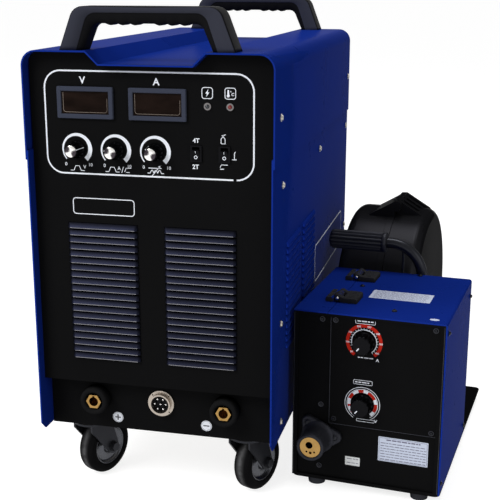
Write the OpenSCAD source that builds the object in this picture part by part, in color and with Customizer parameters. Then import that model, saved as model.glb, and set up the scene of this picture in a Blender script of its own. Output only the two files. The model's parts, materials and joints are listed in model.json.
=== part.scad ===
// MIG welding power source on casters, with a separate wire feeder standing beside it.
// Frame: +Z up, +Y from the control panel to the rear, origin on the floor under the middle
// of the whole set. Millimetres.

/* [Cabinet] */
// Width over the hood
cab_w = 330; // [310:1:360]
// Depth of the side walls
cab_d = 635; // [560:1:720]
// Height of the cabinet without its casters
cab_h = 520; // [490:1:580]
// Ground clearance, which is the height of a caster
caster_h = 94; // [93.5:0.5:110]
// Thickness of the cabinet's sheet steel
sheet = 2; // [1.5:0.1:2.5]
// Height of the hood's side walls
hood_side_h = 140; // [110:1:170]
// Outer radius of the hood's top edges
hood_r = 20; // [8:1:30]
// Half width of the top channel at its mouth
channel_mouth = 77.5; // [70:0.5:79]
// Half width of the top channel at its floor
channel_floor = 61; // [45:0.5:64]
// Depth of the top channel
channel_depth = 16; // [8:0.5:20]
// Depth of the control panel behind the side walls' front edges
panel_recess = 16; // [10:0.5:20]
// Depth of the connector panel behind the same edges
conn_recess = 38; // [30:0.5:38.5]
// Height of the connector bay above the cabinet's underside
bay_h = 75; // [68:0.5:90]
// Depth of the rear panel in front of the side walls' rear edges
rear_recess = 8; // [4:0.5:20]
// Cut-off corner at the foot of each side wall
foot_chamfer = 12; // [0.5:0.5:20]

/* [Louvres] */
// Rows of louvres in each bank
louvre_rows = 20; // [8:1:20]
// Distance from one louvre to the next
louvre_pitch = 9.5; // [8.6:0.1:9.5]
// Length of a front louvre
louvre_w = 88; // [60:1:100]
// How far a louvre stands out
louvre_out = 3; // [2:0.1:4]
// Height of a louvre's slot
louvre_slot = 5; // [4:0.1:5.5]
// Rows of louvres in each side bank
side_rows = 16; // [6:1:18]
// Length of a side louvre
side_louvre_w = 88; // [60:1:98]

/* [Controls] */
// Width of a meter bezel
meter_w = 75; // [70:0.5:78]
// Height of a meter bezel
meter_h = 40; // [36:0.5:44]
// Border of a meter bezel around its window
meter_border = 5.5; // [3:0.25:8]
// Radius of a control knob
knob_r = 11.5; // [9:0.25:14]
// Height of a control knob
knob_h = 23; // [14:0.5:26]
// Distance between control knobs
knob_gap = 53; // [45:0.5:56]
// Radius of every control shaft
shaft_r = 3; // [2:0.1:4]
// Width of a rocker switch's frame
rocker_w = 15; // [13:0.25:18]
// Height of a rocker switch's frame
rocker_h = 21; // [20:0.25:24]

/* [Sockets] */
// Radius of a welding socket's bore
weld_bore_r = 6.5; // [5:0.1:7]
// Radius of a welding socket's collar
collar_r = 20; // [17:0.25:22]
// How far a welding socket stands out of its panel
socket_out = 20; // [15:0.5:24]
// Height of the sockets above the cabinet's underside
socket_z = 42; // [36:0.5:44]
// Distance of each welding socket from the middle
socket_x = 92.5; // [60:0.5:110]
// Radius of the control socket's flange
control_r = 18.5; // [16:0.25:22]

/* [Handles] */
// Height of a carry handle
handle_h = 54; // [46:0.5:62]
// Half width of a carry handle at its feet
handle_half = 115; // [110:0.5:130]
// Width of a handle's foot
handle_foot = 31; // [26:0.5:40]
// Thickness of a carry handle, front to back
handle_t = 36; // [22:0.5:38]
// Height of a carry handle's grip bar
handle_bar = 21; // [16:0.5:24]
// Middle of each handle from the front and rear edges
handle_inset = 24; // [21:1:80]

/* [Casters] */
// Radius of a wheel
wheel_r = 42; // [34:0.5:42.5]
// Width of a wheel's tread
wheel_w = 26; // [20:0.5:28]
// Radius of a wheel's axle
axle_r = 4; // [3:0.1:5]
// Trail of a swivel caster
trail = 22; // [18:0.5:23]
// Kingpins' distance from the middle
caster_x = 115; // [100:0.5:117]
// Kingpins' distance from the front and rear edges
caster_y = 69; // [68.5:0.5:70.5]
// Side of a caster's square top plate
plate_side = 56; // [55:0.5:57]
// Angle of the front casters at rest
caster_turn = 67; // [0:1:360]

/* [Feeder] */
// Width of the feeder
feed_w = 210; // [205:1:240]
// Depth of the feeder's box
box_d = 228; // [215:1:250]
// Height of the feeder's top above the floor
feed_top = 263; // [250:1:290]
// Length of the feeder's base tray
tray_l = 420; // [410:1:480]
// Height of the feeder's rubber feet
foot_h = 14; // [8:0.5:20]
// Thickness of the feeder's sheet steel
fsheet = 2; // [1.5:0.1:2.5]
// Gap between the feeder and the cabinet at the feeder's front corner
stand_gap = 5.75; // [4:0.25:60]
// Feeder's front face behind the cabinet's front edge
stand_y = 108.2; // [106:0.2:160]
// Angle that the feeder stands at
stand_turn = 6; // [0:0.5:12]
// Width of the hinged flap
flap_w = 48; // [40:0.5:56]
// Radius of the handle's tube
tube_r = 8; // [6:0.25:9]
// Radius of the handle's bend
bend_r = 50; // [40:0.5:55]
// Radius of the grip
grip_r = 15; // [12:0.25:17]
// Length of the grip
grip_l = 91; // [80:0.5:100]
// Radius of a dial knob
dial_r = 15.5; // [12:0.25:18]

/* [Spool cover] */
// Outer radius of the spool cover
drum_r = 154; // [148:0.5:156]
// Width of the spool cover
drum_w = 130; // [124:0.5:134]
// Wall of the spool cover
drum_t = 3; // [2:0.1:4]
// Radius of the spool cover's rounded edges
drum_edge = 16; // [10:0.5:22]
// Radius of the spool hub, which takes a 52 mm spool bore
hub_r = 25.5; // [22:0.25:28]
// Radius of the spool axle
spindle_r = 8; // [6:0.25:10]

/* [Wire drive] */
// Teeth on each feed gear
teeth = 20; // [16:4:24]
// Module of the feed gears
gear_m = 1.5; // [1.3:0.05:1.6]
// Diameter of the welding wire
wire_d = 1.2; // [0.8:0.1:1.6]

/* [Hidden] */
$fn = 48;
run = 0.05;      // radial clearance of a shaft that turns in a bore
air = 0.3;       // gap between pieces that move past each other
z0 = caster_h;
z1 = caster_h + cab_h;
lap_z = z1 - hood_side_h;
half = cab_w / 2;
wall_out = half - sheet;
wall_in = half - 2 * sheet;
tray_z = z0 + 3.3;
floor_z = tray_z + sheet;
shelf_z = z0 + bay_h;
rear_y = cab_d - rear_recess;
front_y = panel_recess;
head_r = 4.2;
head_h = 2.6;
meter_z = z1 - 66;
lamp_z = z1 - 66.5;
knob_z = z1 - 126;
knob_x = -46.5;
meter_x = [-85.5, 11];
lamp_x = [76, 105];
rocker_x = [60.5, 97.5];
rocker_z = knob_z;
rocker_tilt = 12;
louvre_x = [-68, 64.5];
louvre_top = z1 - 223;
side_bank_y = [93, 210];
side_top = z1 - 252;
louvre_height = louvre_pitch - 2;
conn_y = conn_recess;
axis_z = z0 + socket_z;
breaker_x = half - 70;
breaker_z = z0 + 90;
fan_z = z1 - 210;
fan_r = 70;
gland_x = 60 - half;
gland_z = z0 + 70;

fx = half + stand_gap;
fy = stand_y;
fz = foot_h;
ffloor = foot_h + fsheet;
ftop = feed_top;
axis_x = 36;                        // wire line
wire_z = ffloor + 67;
pitch_r = gear_m * teeth / 2;
roll_y = 100;
low_z = wire_z - pitch_r;
high_z = wire_z + pitch_r;
pivot_y = roll_y + 50;
pivot_z = high_z + 12;
arm_x = 20;
arm_t = 8;
screw_y = roll_y - 38;
drum_x = -12;
split_x = drum_x + 75;
drum_y = box_d + 23 + drum_r;
drum_z = ffloor + 2 + drum_r;
hinge_z = drum_z + drum_r + 11;
tube_y = box_d + tube_r;
flap_l = tube_y - grip_r - 1;   // the flap ends just ahead of the grip that it swings past
tube_x = 133;
bar_z = ftop + bend_r - 6;
torch_x = axis_x + 1.5;
torch_z = wire_z - 3;
dial_x = 99;
dial_z = [ftop - 37, ftop - 127];
flap_pin_z = ftop + 6;
flap_leaf_y = [48, 161];
leaf_l = 40;

// Lowest and highest corners of the whole set, which put the origin under its middle
tray_corner = 8;
x_min = -half - head_h;
x_max = fx + (feed_w - tray_corner) * cos(stand_turn)
      + (tray_l - tray_corner) * sin(stand_turn) + tray_corner;
y_min = panel_recess - knob_h;
y_max = fy - (drum_x + drum_edge) * sin(stand_turn)
      + (drum_y + drum_r - drum_edge) * cos(stand_turn) + drum_edge;
origin_x = (x_min + x_max) / 2;
origin_y = (y_min + y_max) / 2;

// ---- placing -------------------------------------------------------------------------

// Cabinet coordinates: x from its middle, y from its front edge, z from the floor
module at_cabinet() translate([-origin_x, -origin_y, 0]) children();

// Feeder coordinates: x from its left wall, y from its front face, z from the floor
module at_feeder()
    translate([fx - origin_x, fy - origin_y, 0]) rotate([0, 0, -stand_turn]) children();

module mirrored_x() { children(); mirror([1, 0, 0]) children(); }

// A 2D outline in X and Z, stood up at y and made t thick towards +Y
module upright(y, t) translate([0, y + t, 0]) rotate([90, 0, 0]) linear_extrude(t) children();

// A 2D outline in Y and Z, made w wide along +X from x
module sideways(x, w)
    translate([x, 0, 0]) rotate([90, 0, 90]) linear_extrude(w) children();

// A round bar along Y from y, length l
module bar_y(x, y, z, r, l) translate([x, y, z]) rotate([-90, 0, 0]) cylinder(h = l, r = r);

// A round bar along X from x, length l
module bar_x(x, y, z, r, l) translate([x, y, z]) rotate([0, 90, 0]) cylinder(h = l, r = r);

function arc(cx, cy, r, a0, a1, n = 8) =
    [for (i = [0:n]) let (a = a0 + (a1 - a0) * i / n) [cx + r * cos(a), cy + r * sin(a)]];

// ---- cabinet shells --------------------------------------------------------------------

// Hood's outline, drawn inwards by t
module hood_outline(t) {
    slope = (channel_mouth - channel_floor) / channel_depth;
    out = t * sqrt(1 + slope * slope);
    floor_y = z1 - channel_depth - t;
    floor_half = channel_floor - slope * t + out;
    difference() {
        union() {
            translate([-half + t, 0]) square([cab_w - 2 * t, z1 - hood_r]);
            translate([-half + hood_r, 0]) square([cab_w - 2 * hood_r, z1 - t]);
            for (s = [-1, 1]) translate([s * (half - hood_r), z1 - hood_r]) circle(hood_r - t);
        }
        polygon([[-channel_mouth - out, z1], [-floor_half, floor_y],
                 [floor_half, floor_y], [channel_mouth + out, z1], [channel_mouth + out, z1 + 9],
                 [-channel_mouth - out, z1 + 9]]);
    }
}

module hood() color("mediumblue") at_cabinet()
    upright(0, cab_d) difference() {
        hood_outline(0);
        hood_outline(sheet);
        translate([-half - 1, -1]) square([cab_w + 2, lap_z + 1]);
    }

// A flat panel that fills the shell between the side walls, from z up to the hood
module bulkhead(y, z) upright(y, sheet) intersection() {
    hood_outline(sheet);
    translate([-wall_in, z]) square([2 * wall_in, z1]);
}

// One column of louvre slots, its top row's upper edge at z
module slot_column(x, z, w, rows) for (i = [0:rows - 1])
    translate([x - w / 2, z - louvre_height - i * louvre_pitch]) square([w, louvre_slot]);

// One column of louvre hoods, pressed out towards -Y from the plane y = 0
module louvre_column(x, z, w, rows) for (i = [0:rows - 1]) {
    zb = z - louvre_height - i * louvre_pitch;
    difference() {
        sideways(x - w / 2 - 1, w + 2)
            polygon([[0.4, zb], [-louvre_out, zb], [-louvre_out, zb + 1.5],
                     [0, zb + louvre_height], [0.4, zb + louvre_height]]);
        sideways(x - w / 2, w)
            polygon([[1, zb - 1], [1 - louvre_out, zb - 1], [1 - louvre_out, zb + 1.2],
                     [0, zb + louvre_slot], [1, zb + louvre_slot]]);
    }
}

// Side wall as seen from outside, with its foot corner cut off
module side_wall() {
    side_louvre_x = [for (y = side_bank_y) y + side_louvre_w / 2];
    rotate([90, 0, 90]) difference() {
        linear_extrude(sheet) difference() {
            polygon([[0, lap_z + 12], [0, z0 + foot_chamfer], [foot_chamfer, z0],
                     [cab_d, z0], [cab_d, lap_z + 12]]);
            for (x = side_louvre_x) slot_column(x, side_top, side_louvre_w, side_rows);
        }
    }
    for (x = side_louvre_x) translate([sheet, 0, 0]) rotate([0, 0, 90])
        louvre_column(x, side_top, side_louvre_w, side_rows);
}

module right_panel() color("mediumblue") at_cabinet() translate([wall_in, 0, 0]) side_wall();

module left_panel() color("mediumblue") at_cabinet()
    mirror([1, 0, 0]) translate([wall_in, 0, 0]) side_wall();

module chassis_tray() color("dimgray") at_cabinet() difference() {
    union() {
        translate([-wall_in, conn_y + sheet, tray_z])
            cube([2 * wall_in, rear_y - conn_y - sheet, sheet]);
        mirrored_x() translate([wall_in - sheet, conn_y + sheet, tray_z])
            cube([sheet, rear_y - conn_y - 2 * sheet, 30]);
    }
    for_casters() bolt_places() translate([0, 0, tray_z - 1]) cylinder(h = sheet + 2, r = 4);
}

module front_panel() color("black") at_cabinet() {
    difference() {
        bulkhead(front_y, shelf_z);
        translate([0, front_y - 1, 0]) rotate([90, 0, 0]) mirror([0, 0, 1])
            linear_extrude(sheet + 2) {
                for (x = louvre_x) slot_column(x, louvre_top, louvre_w, louvre_rows);
                for (x = meter_x) translate([x, meter_z])
                    square([meter_w - 8, meter_h - 8], center = true);
                for (x = lamp_x) translate([x, lamp_z]) circle(3);
                for (i = [-1:1]) translate([knob_x + i * knob_gap, knob_z])
                    circle(shaft_r + run);
                for (x = rocker_x) translate([x, rocker_z])
                    square([rocker_w - 2, rocker_h - 2], center = true);
            }
    }
    for (x = louvre_x) translate([0, front_y, 0])
        louvre_column(x, louvre_top, louvre_w, louvre_rows);
    translate([-wall_in, front_y, shelf_z - sheet])
        cube([2 * wall_in, conn_y + sheet - front_y, sheet]);
}

module connector_panel() color("black") at_cabinet() difference() {
    translate([-wall_in, conn_y, z0 - 1.5])
        cube([2 * wall_in, sheet, shelf_z - sheet - z0 + 1.5]);
    for (s = [-1, 1]) bar_y(s * socket_x, conn_y - 1, axis_z, 8, sheet + 2);
    bar_y(0, conn_y - 1, axis_z, 14.5, sheet + 2);
}

module rear_panel() color("black") at_cabinet() {
    difference() {
        bulkhead(rear_y - sheet, floor_z);
        translate([0, rear_y - sheet - 1, 0]) rotate([90, 0, 0]) mirror([0, 0, 1])
            linear_extrude(sheet + 2) {
                intersection() {
                    translate([0, fan_z]) difference() { circle(fan_r); circle(20); }
                    union() {
                        for (i = [-7:7]) translate([-fan_r, fan_z + i * 10 - 3])
                            square([fan_r - 4, 6]);
                        for (i = [-7:7]) translate([4, fan_z + i * 10 - 3])
                            square([fan_r - 4, 6]);
                    }
                }
                translate([breaker_x, breaker_z]) square([30, 50], center = true);
                translate([gland_x, gland_z]) circle(11);
            }
    }
    // fan spider: four legs that carry the stator and its stub shaft
    for (a = [45:90:315]) translate([0, 0, fan_z]) rotate([0, a, 0])
        translate([fan_r + 4, rear_y - sheet - 46, -4]) cube([5, 46, 8]);
    for (a = [45:90:315]) translate([0, 0, fan_z]) rotate([0, a, 0])
        translate([0, rear_y - sheet - 46, -4]) cube([fan_r + 9, 4, 8]);
    bar_y(0, rear_y - sheet - 50, fan_z, 22, 8);
    bar_y(0, rear_y - sheet - 46, fan_z, shaft_r, 36);
}

// ---- handles ---------------------------------------------------------------------------

// Arch of one handle in X and Z, standing on the hood, its right half
module handle_half_outline() {
    top = z1 + handle_h;
    under = top - handle_bar;
    foot_in = handle_half - handle_foot;
    polygon(concat(
        [[0, under], [8, under]],
        [for (i = [1:20]) [8 + i * (foot_in - 36) / 20, under - 2.2 * pow(sin(i * 27), 2)]],
        arc(foot_in - 22, under - 12, 12, 90, 17),
        [[foot_in, z1], [handle_half, z1]],
        arc(handle_half - 33, top - 18, 18, 21, 90),
        [[0, top]]));
}

module carry_handles() color("black") at_cabinet()
    for (y = [handle_inset, cab_d - handle_inset])
        upright(y - handle_t / 2, handle_t) mirrored_x() handle_half_outline();

// ---- fasteners -------------------------------------------------------------------------

// Pan head with a washer, standing on the plane z = 0
module pan_head(r = head_r) {
    cylinder(h = 0.8, r = r + 0.8);
    difference() {
        cylinder(h = head_h, r1 = r, r2 = r - 1.1);
        for (a = [0, 90]) rotate([0, 0, a]) translate([-0.6 * r, -0.4, head_h - 1]) cube([1.2 * r, 0.8, 2]);
    }
}

module cover_screws() color("silver") at_cabinet() {
    mirrored_x() {
        for (y = [35, cab_d - 18]) translate([half, y, lap_z + 60]) rotate([0, 90, 0]) pan_head();
        for (p = [[60, lap_z - 30], [55, z0 + 164], [60, z0 + 22], [cab_d * 0.54, lap_z - 26],
                  [cab_d - 18, lap_z - 26], [cab_d - 14, z0 + 172]])
            translate([wall_out, p[0], p[1]]) rotate([0, 90, 0]) pan_head();
    }
    for (x = [-130, 0, 130]) translate([x, (front_y + conn_y) / 2, shelf_z - sheet])
        rotate([180, 0, 0]) pan_head();
}

// ---- controls --------------------------------------------------------------------------

module meter_bezels() color("gray") at_cabinet() for (x = meter_x)
    translate([x, front_y, meter_z]) difference() {
        union() {
            translate([-meter_w / 2, -3.5, -meter_h / 2]) cube([meter_w, 3.5, meter_h]);
            translate([4 - meter_w / 2, 0, 4 - meter_h / 2]) cube([meter_w - 8, 24, meter_h - 8]);
        }
        translate([meter_border - meter_w / 2, -4, meter_border - meter_h / 2])
            cube([meter_w - 2 * meter_border, 24, meter_h - 2 * meter_border]);
    }

module meter_lenses() color("maroon") at_cabinet() for (x = meter_x)
    translate([x, front_y, meter_z])
        translate([meter_border - meter_w / 2, -2, meter_border - meter_h / 2])
            cube([meter_w - 2 * meter_border, 1.5, meter_h - 2 * meter_border]);

module indicator_lamps() color("silver") at_cabinet() for (x = lamp_x)
    translate([x, front_y, lamp_z]) rotate([90, 0, 0]) {
        translate([0, 0, -10]) cylinder(h = 12, r = 3);
        cylinder(h = 1.6, r = 4.6);
        translate([0, 0, 1.6]) sphere(2.4);
    }

// A fluted knob on its shaft, growing towards -Y from a panel at y, shaft sinks in depth deep
module knob(x, y, z, r, h, depth) translate([x, y, z]) rotate([90, 0, 0]) {
    translate([0, 0, 0.5]) cylinder(h = 4, r = r);
    translate([0, 0, 4]) linear_extrude(h - 5.2) difference() {
        circle(r - 1);
        for (i = [0:11]) rotate(i * 30 + 15) translate([r + 0.4, 0]) circle(2.2);
    }
    translate([0, 0, h - 1.2]) cylinder(h = 1.2, r = r * 0.62);
    translate([0, 0, -depth]) cylinder(h = depth + 1, r = shaft_r);
}

module panel_knob(i) color("black") at_cabinet()
    knob(knob_x + i * knob_gap, front_y, knob_z, knob_r, knob_h, 14);
module knob_left() panel_knob(-1);
module knob_middle() panel_knob(0);
module knob_right() panel_knob(1);

rocker_in_w = rocker_w - 5.4;
rocker_in_h = rocker_h - 4;
rocker_pin_y = 4.5;

module rocker_frames() color("black") at_cabinet() for (x = rocker_x)
    translate([x, front_y, rocker_z]) difference() {
        union() {
            translate([-rocker_w / 2, -2, -rocker_h / 2]) cube([rocker_w, 2, rocker_h]);
            translate([1 - rocker_w / 2, 0, 1 - rocker_h / 2])
                cube([rocker_w - 2, 16, rocker_h - 2]);
        }
        translate([-rocker_in_w / 2, -3, -rocker_in_h / 2]) cube([rocker_in_w, 15, rocker_in_h]);
        bar_x(-rocker_in_w / 2 - 1.2, rocker_pin_y, 0, 1.5 + run, rocker_in_w + 2.4);
    }

// A rocker tipped by a about its pin, its face towards -Y
module rocker(x, a) color("dimgray") at_cabinet()
    translate([x, front_y + rocker_pin_y, rocker_z]) rotate([a, 0, 0]) {
        l = rocker_in_h / 2 - 2;
        sideways(air - rocker_in_w / 2, rocker_in_w - 2 * air)
            polygon([[-8.6, -l], [-7, 0], [-8.6, l], [-4, l], [2.6, 2], [2.6, -2], [-4, -l]]);
        bar_x(-rocker_in_w / 2 - 1, 0, 0, 1.5, rocker_in_w + 2);
    }
module rocker_step() rocker(rocker_x[0], rocker_tilt);
module rocker_gas() rocker(rocker_x[1], rocker_tilt);

// ---- sockets ---------------------------------------------------------------------------

module socket_collars() color("black") at_cabinet() for (s = [-1, 1])
    translate([s * socket_x, conn_y, axis_z]) rotate([90, 0, 0]) difference() {
        union() {
            cylinder(h = 7, r = collar_r);
            cylinder(h = socket_out, r = collar_r - 1);
        }
        translate([0, 0, 6]) cylinder(h = socket_out, r = collar_r - 7.5);
        translate([0, 0, -1]) cylinder(h = 9, r = 8);
    }

module socket_inserts() color("goldenrod") at_cabinet() for (s = [-1, 1])
    translate([s * socket_x, conn_y, axis_z]) rotate([90, 0, 0]) difference() {
        union() {
            translate([0, 0, 6]) cylinder(h = socket_out - 8, r = 10.8, $fn = 6);
            translate([0, 0, -24]) cylinder(h = 31, r = 8);
            translate([0, 0, -8]) cylinder(h = 6, r = 13, $fn = 6);
        }
        translate([0, 0, -18]) cylinder(h = 60, r = weld_bore_r);
        translate([-1.5, 0, -18]) cube([3, weld_bore_r + 1.6, 60]);
    }

module control_socket() color("silver") at_cabinet()
    translate([0, conn_y, axis_z]) rotate([90, 0, 0]) difference() {
        union() {
            cylinder(h = 2.5, r = control_r);
            translate([0, 0, -14]) cylinder(h = 22, r = 14.5);
        }
        translate([0, 0, -15]) cylinder(h = 30, r = 12.5);
        for (a = [45:90:315]) rotate([0, 0, a]) translate([16.6, 0, -1]) cylinder(h = 5, r = 1);
    }

module control_insert() color("black") at_cabinet()
    translate([0, conn_y, axis_z]) rotate([90, 0, 0]) {
        translate([0, 0, -13]) cylinder(h = 12, r = 12.5);
        for (i = [0:5]) rotate([0, 0, i * 60]) translate([8, 0, -2]) cylinder(h = 7, r = 1.2);
        translate([0, 0, -2]) cylinder(h = 7, r = 1.2);
    }

// ---- inside and rear -------------------------------------------------------------------

// Finned heat sink on the tray, with the inverter's block on top
sink_half = half - 55;

module power_block() color("gainsboro") at_cabinet() {
    upright(120, cab_d - 320) translate([0, floor_z]) {
        translate([-sink_half, 0]) square([2 * sink_half, 8]);
        for (i = [-5:5]) translate([i * sink_half / 5.5 - 2, 7]) square([4, 63]);
        translate([-sink_half, 69]) square([2 * sink_half, 8]);
    }
    translate([30 - sink_half, 150, floor_z + 76]) cube([2 * sink_half - 60, cab_d - 380, 120]);
}

module breaker_body() color("black") at_cabinet()
    translate([breaker_x, rear_y, breaker_z]) difference() {
        union() {
            translate([-15, -60, -25]) cube([30, 63, 50]);
            translate([-20, -60, -35]) cube([40, 60 - sheet, 70]);
        }
        translate([-7, -14, -14]) cube([14, 20, 28]);
        bar_x(-9, -6, 0, 2 + run, 18);
    }

module breaker_toggle() color("black") at_cabinet()
    translate([breaker_x, rear_y - 6, breaker_z]) rotate([25, 0, 0]) {
        sideways(-6, 12) polygon(concat(arc(0, 0, 6, 90, 270), [[6, -3], [19, -3.5],
            [19, 3.5], [6, 3]]));
        bar_x(-8.5, 0, 0, 2, 17);
    }

module mains_gland() color("black") at_cabinet()
    translate([gland_x, rear_y, gland_z]) rotate([-90, 0, 0]) difference() {
        union() {
            cylinder(h = 5, r = 16, $fn = 6);
            cylinder(h = 13, r = 13);
            translate([0, 0, 13]) cylinder(h = 5, r1 = 13, r2 = 10.5);
            translate([0, 0, -12]) cylinder(h = 13, r = 11);
            translate([0, 0, -sheet - 5]) cylinder(h = 5, r = 16, $fn = 6);
        }
        translate([0, 0, -13]) cylinder(h = 40, r = 7);
    }

module fan_rotor() color("black") at_cabinet()
    translate([0, rear_y - sheet - 8, fan_z]) rotate([90, 0, 0]) difference() {
        union() {
            cylinder(h = 28, r = 24);
            for (i = [0:6]) rotate([0, 0, i * 360 / 7]) translate([22, 0, 14])
                rotate([35, 0, 0]) translate([0, -14, -1]) cube([fan_r - 26, 28, 2]);
        }
        translate([0, 0, -1]) cylinder(h = 30, r = shaft_r + run);
    }

// ---- casters ---------------------------------------------------------------------------

rear_caster_y = cab_d - caster_y;
bolt_out = 21;
plate_t = 3;
race_z = tray_z - plate_t - 5;
crown_z = race_z - air;
crown_t = 3;
leg_t = 3;
leg_in = wheel_w / 2 + 2.5;

module for_front_casters() for (s = [-1, 1]) translate([s * caster_x, caster_y, 0]) children();
module for_rear_casters()
    for (s = [-1, 1]) translate([s * caster_x, rear_caster_y, 0]) children();
module for_casters() { for_front_casters() children(); for_rear_casters() children(); }
module bolt_places() for (x = [-bolt_out, bolt_out], y = [-bolt_out, bolt_out])
    translate([x, y, 0]) children();

module top_plate() difference() {
    translate([-plate_side / 2, -plate_side / 2, tray_z - plate_t])
        cube([plate_side, plate_side, plate_t]);
    bolt_places() translate([0, 0, tray_z - plate_t - 1]) cylinder(h = plate_t + 2, r = 4);
}

// Top plates with their raceways and kingpins
module caster_plates() color("silver") at_cabinet() for_front_casters() {
    top_plate();
    translate([0, 0, race_z]) cylinder(h = 5, r1 = 20, r2 = 22.5);
    translate([0, 0, crown_z - crown_t - 1]) cylinder(h = crown_t + 3, r = 5);
    translate([0, 0, crown_z - crown_t - air - 1.8]) cylinder(h = 1.8, r = 8);
}

// Side plate of a fork in its own plane: u backwards from the kingpin, z up
module leg_outline(reach) polygon(concat(
    [[-20, crown_z], [-20, crown_z - 12]],
    arc(reach, wheel_r, 11, 200, 380),
    [[22, crown_z - 12], [22, crown_z]]));

module fork(reach) {
    for (s = [-1, 1]) translate([0, s * (leg_in + leg_t / 2) + leg_t / 2, 0])
        rotate([90, 0, 0]) linear_extrude(leg_t) leg_outline(reach);
    translate([reach, leg_in + leg_t, wheel_r]) rotate([90, 0, 0])
        cylinder(h = 2 * (leg_in + leg_t), r = axle_r);
    for (s = [0, 1]) mirror([0, s, 0]) translate([reach, leg_in + leg_t, wheel_r])
        rotate([-90, 0, 0]) { cylinder(h = 1.2, r = 8); cylinder(h = 6, r = 7, $fn = 6); }
}

module swivel_fork(s) color("gray") at_cabinet() translate([s * caster_x, caster_y, 0])
    rotate([0, 0, caster_turn]) {
        difference() {
            translate([0, 0, crown_z - crown_t]) cylinder(h = crown_t, r = 27);
            translate([0, 0, crown_z - crown_t - 1]) cylinder(h = crown_t + 2, r = 5 + run);
        }
        fork(trail);
    }
module front_left_fork() swivel_fork(-1);
module front_right_fork() swivel_fork(1);

module rear_brackets() color("gray") at_cabinet() for_rear_casters() {
    top_plate();
    rotate([0, 0, 90]) {
        fork(0);
        for (s = [-1, 1]) translate([-14, s * (leg_in + leg_t / 2) - leg_t / 2, crown_z - 1])
            cube([28, leg_t, tray_z - plate_t - crown_z + 1]);
    }
}

// Wheel with its tyre, turned about its axle, profile as radius and half width
module wheel() rotate([90, 0, 0]) rotate_extrude($fn = 72) {
    w = wheel_w / 2;
    side = [[axle_r + run, w + 2.2], [12, w + 2.2], [13, w - 5], [wheel_r - 15, w - 6],
            [wheel_r - 13.5, w - 1], [wheel_r - 11, w]];
    profile = concat(side, arc(wheel_r - 7, w - 7, 7, 90, 20, 5),
        [[wheel_r, 0]]);
    polygon(concat(profile, [for (i = [len(profile) - 2:-1:0]) [profile[i][0], -profile[i][1]]]));
}

module front_wheel(s) color("dimgray") at_cabinet() translate([s * caster_x, caster_y, 0])
    rotate([0, 0, caster_turn]) translate([trail, 0, wheel_r]) wheel();
module rear_wheel(s) color("dimgray") at_cabinet()
    translate([s * caster_x, rear_caster_y, wheel_r]) rotate([0, 0, 90]) wheel();
module front_left_wheel() front_wheel(-1);
module front_right_wheel() front_wheel(1);
module rear_left_wheel() rear_wheel(-1);
module rear_right_wheel() rear_wheel(1);

module caster_bolts() color("silver") at_cabinet() for_casters() bolt_places() {
    translate([0, 0, tray_z - plate_t - 4]) cylinder(h = 4, r = 6.2, $fn = 6);
    translate([0, 0, tray_z - plate_t - 1]) cylinder(h = plate_t + sheet + 8, r = 4);
    translate([0, 0, floor_z]) cylinder(h = 5, r = 6.8, $fn = 6);
}

// ---- feeder shells ---------------------------------------------------------------------

module feeder_tray() color("black") at_feeder() translate([0, 0, fz]) linear_extrude(fsheet) {
    translate([0, tray_corner]) square([feed_w, tray_l - 2 * tray_corner]);
    translate([tray_corner, 0]) square([feed_w - 2 * tray_corner, tray_l]);
    for (x = [tray_corner, feed_w - tray_corner], y = [tray_corner, tray_l - tray_corner])
        translate([x, y]) circle(tray_corner);
}

foot_x = 31;
module feeder_feet() color("dimgray") at_feeder()
    for (x = [foot_x, feed_w - foot_x], y = [22, tray_l - 22])
        translate([x, y, 0]) cylinder(h = fz, r1 = 12, r2 = 14);

frame_w = 7;
flap_drop = 0.4;

module feeder_front() color("black") at_feeder() difference() {
    union() {
        translate([0, 0, ffloor]) cube([feed_w - fsheet, 12, ftop - fsheet - flap_drop - ffloor]);
        translate([flap_w + 2, 0, ffloor])
            cube([feed_w - fsheet - flap_w - 2, 12, ftop - fsheet - ffloor]);
    }
    translate([frame_w, -1, ffloor + 3])
        cube([feed_w - fsheet - 2 * frame_w, 4, ftop - fsheet - ffloor - 7]);
    translate([frame_w, 5, ffloor + 3])
        cube([feed_w - fsheet - 2 * frame_w, 12, ftop - fsheet - ffloor - 7]);
    bar_y(torch_x, -2, torch_z, 16, 20);
    for (z = dial_z) bar_y(dial_x, -2, z, shaft_r + 2, 20);
}

// Removable plate that carries the two dials
module control_plate() color("black") at_feeder() difference() {
    translate([flap_w + 4, 1, ftop - fsheet - 160])
        cube([feed_w - fsheet - frame_w - flap_w - 4, 2, 156]);
    for (z = dial_z) bar_y(dial_x, 0, z, shaft_r + run, 4);
}

// Right, rear and left walls folded from one sheet, with the fixed part of the top
module feeder_cover() color("mediumblue") at_feeder() difference() {
    union() {
        translate([0, 0, ffloor]) linear_extrude(ftop - fsheet - flap_drop - ffloor) {
            translate([feed_w - fsheet, 0]) square([fsheet, box_d]);
            translate([fsheet, box_d - fsheet]) square([feed_w - fsheet, fsheet]);
            translate([fsheet, 12]) square([fsheet, box_d - 12]);
        }
        upright(0, box_d) difference() {
            translate([flap_w + 0.4, ffloor]) {
                square([feed_w - flap_w - 0.4 - 4, ftop - ffloor]);
                square([feed_w - flap_w - 0.4, ftop - ffloor - 4]);
                translate([feed_w - flap_w - 4.4, ftop - ffloor - 4]) circle(4);
            }
            translate([0, 0]) square([feed_w - fsheet, ftop - fsheet]);
        }
        // fixed strip behind the flap, under the grip
        translate([0, flap_l + air, ftop - fsheet - 1])
            cube([flap_w + 1, box_d - flap_l - air, fsheet + 1]);
        translate([0, flap_l + air, ftop - 12]) cube([fsheet + 0.5, box_d - flap_l - air, 12]);
    }
    bar_y(axis_x, box_d - 10, wire_z, 6, 20);
}

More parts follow.
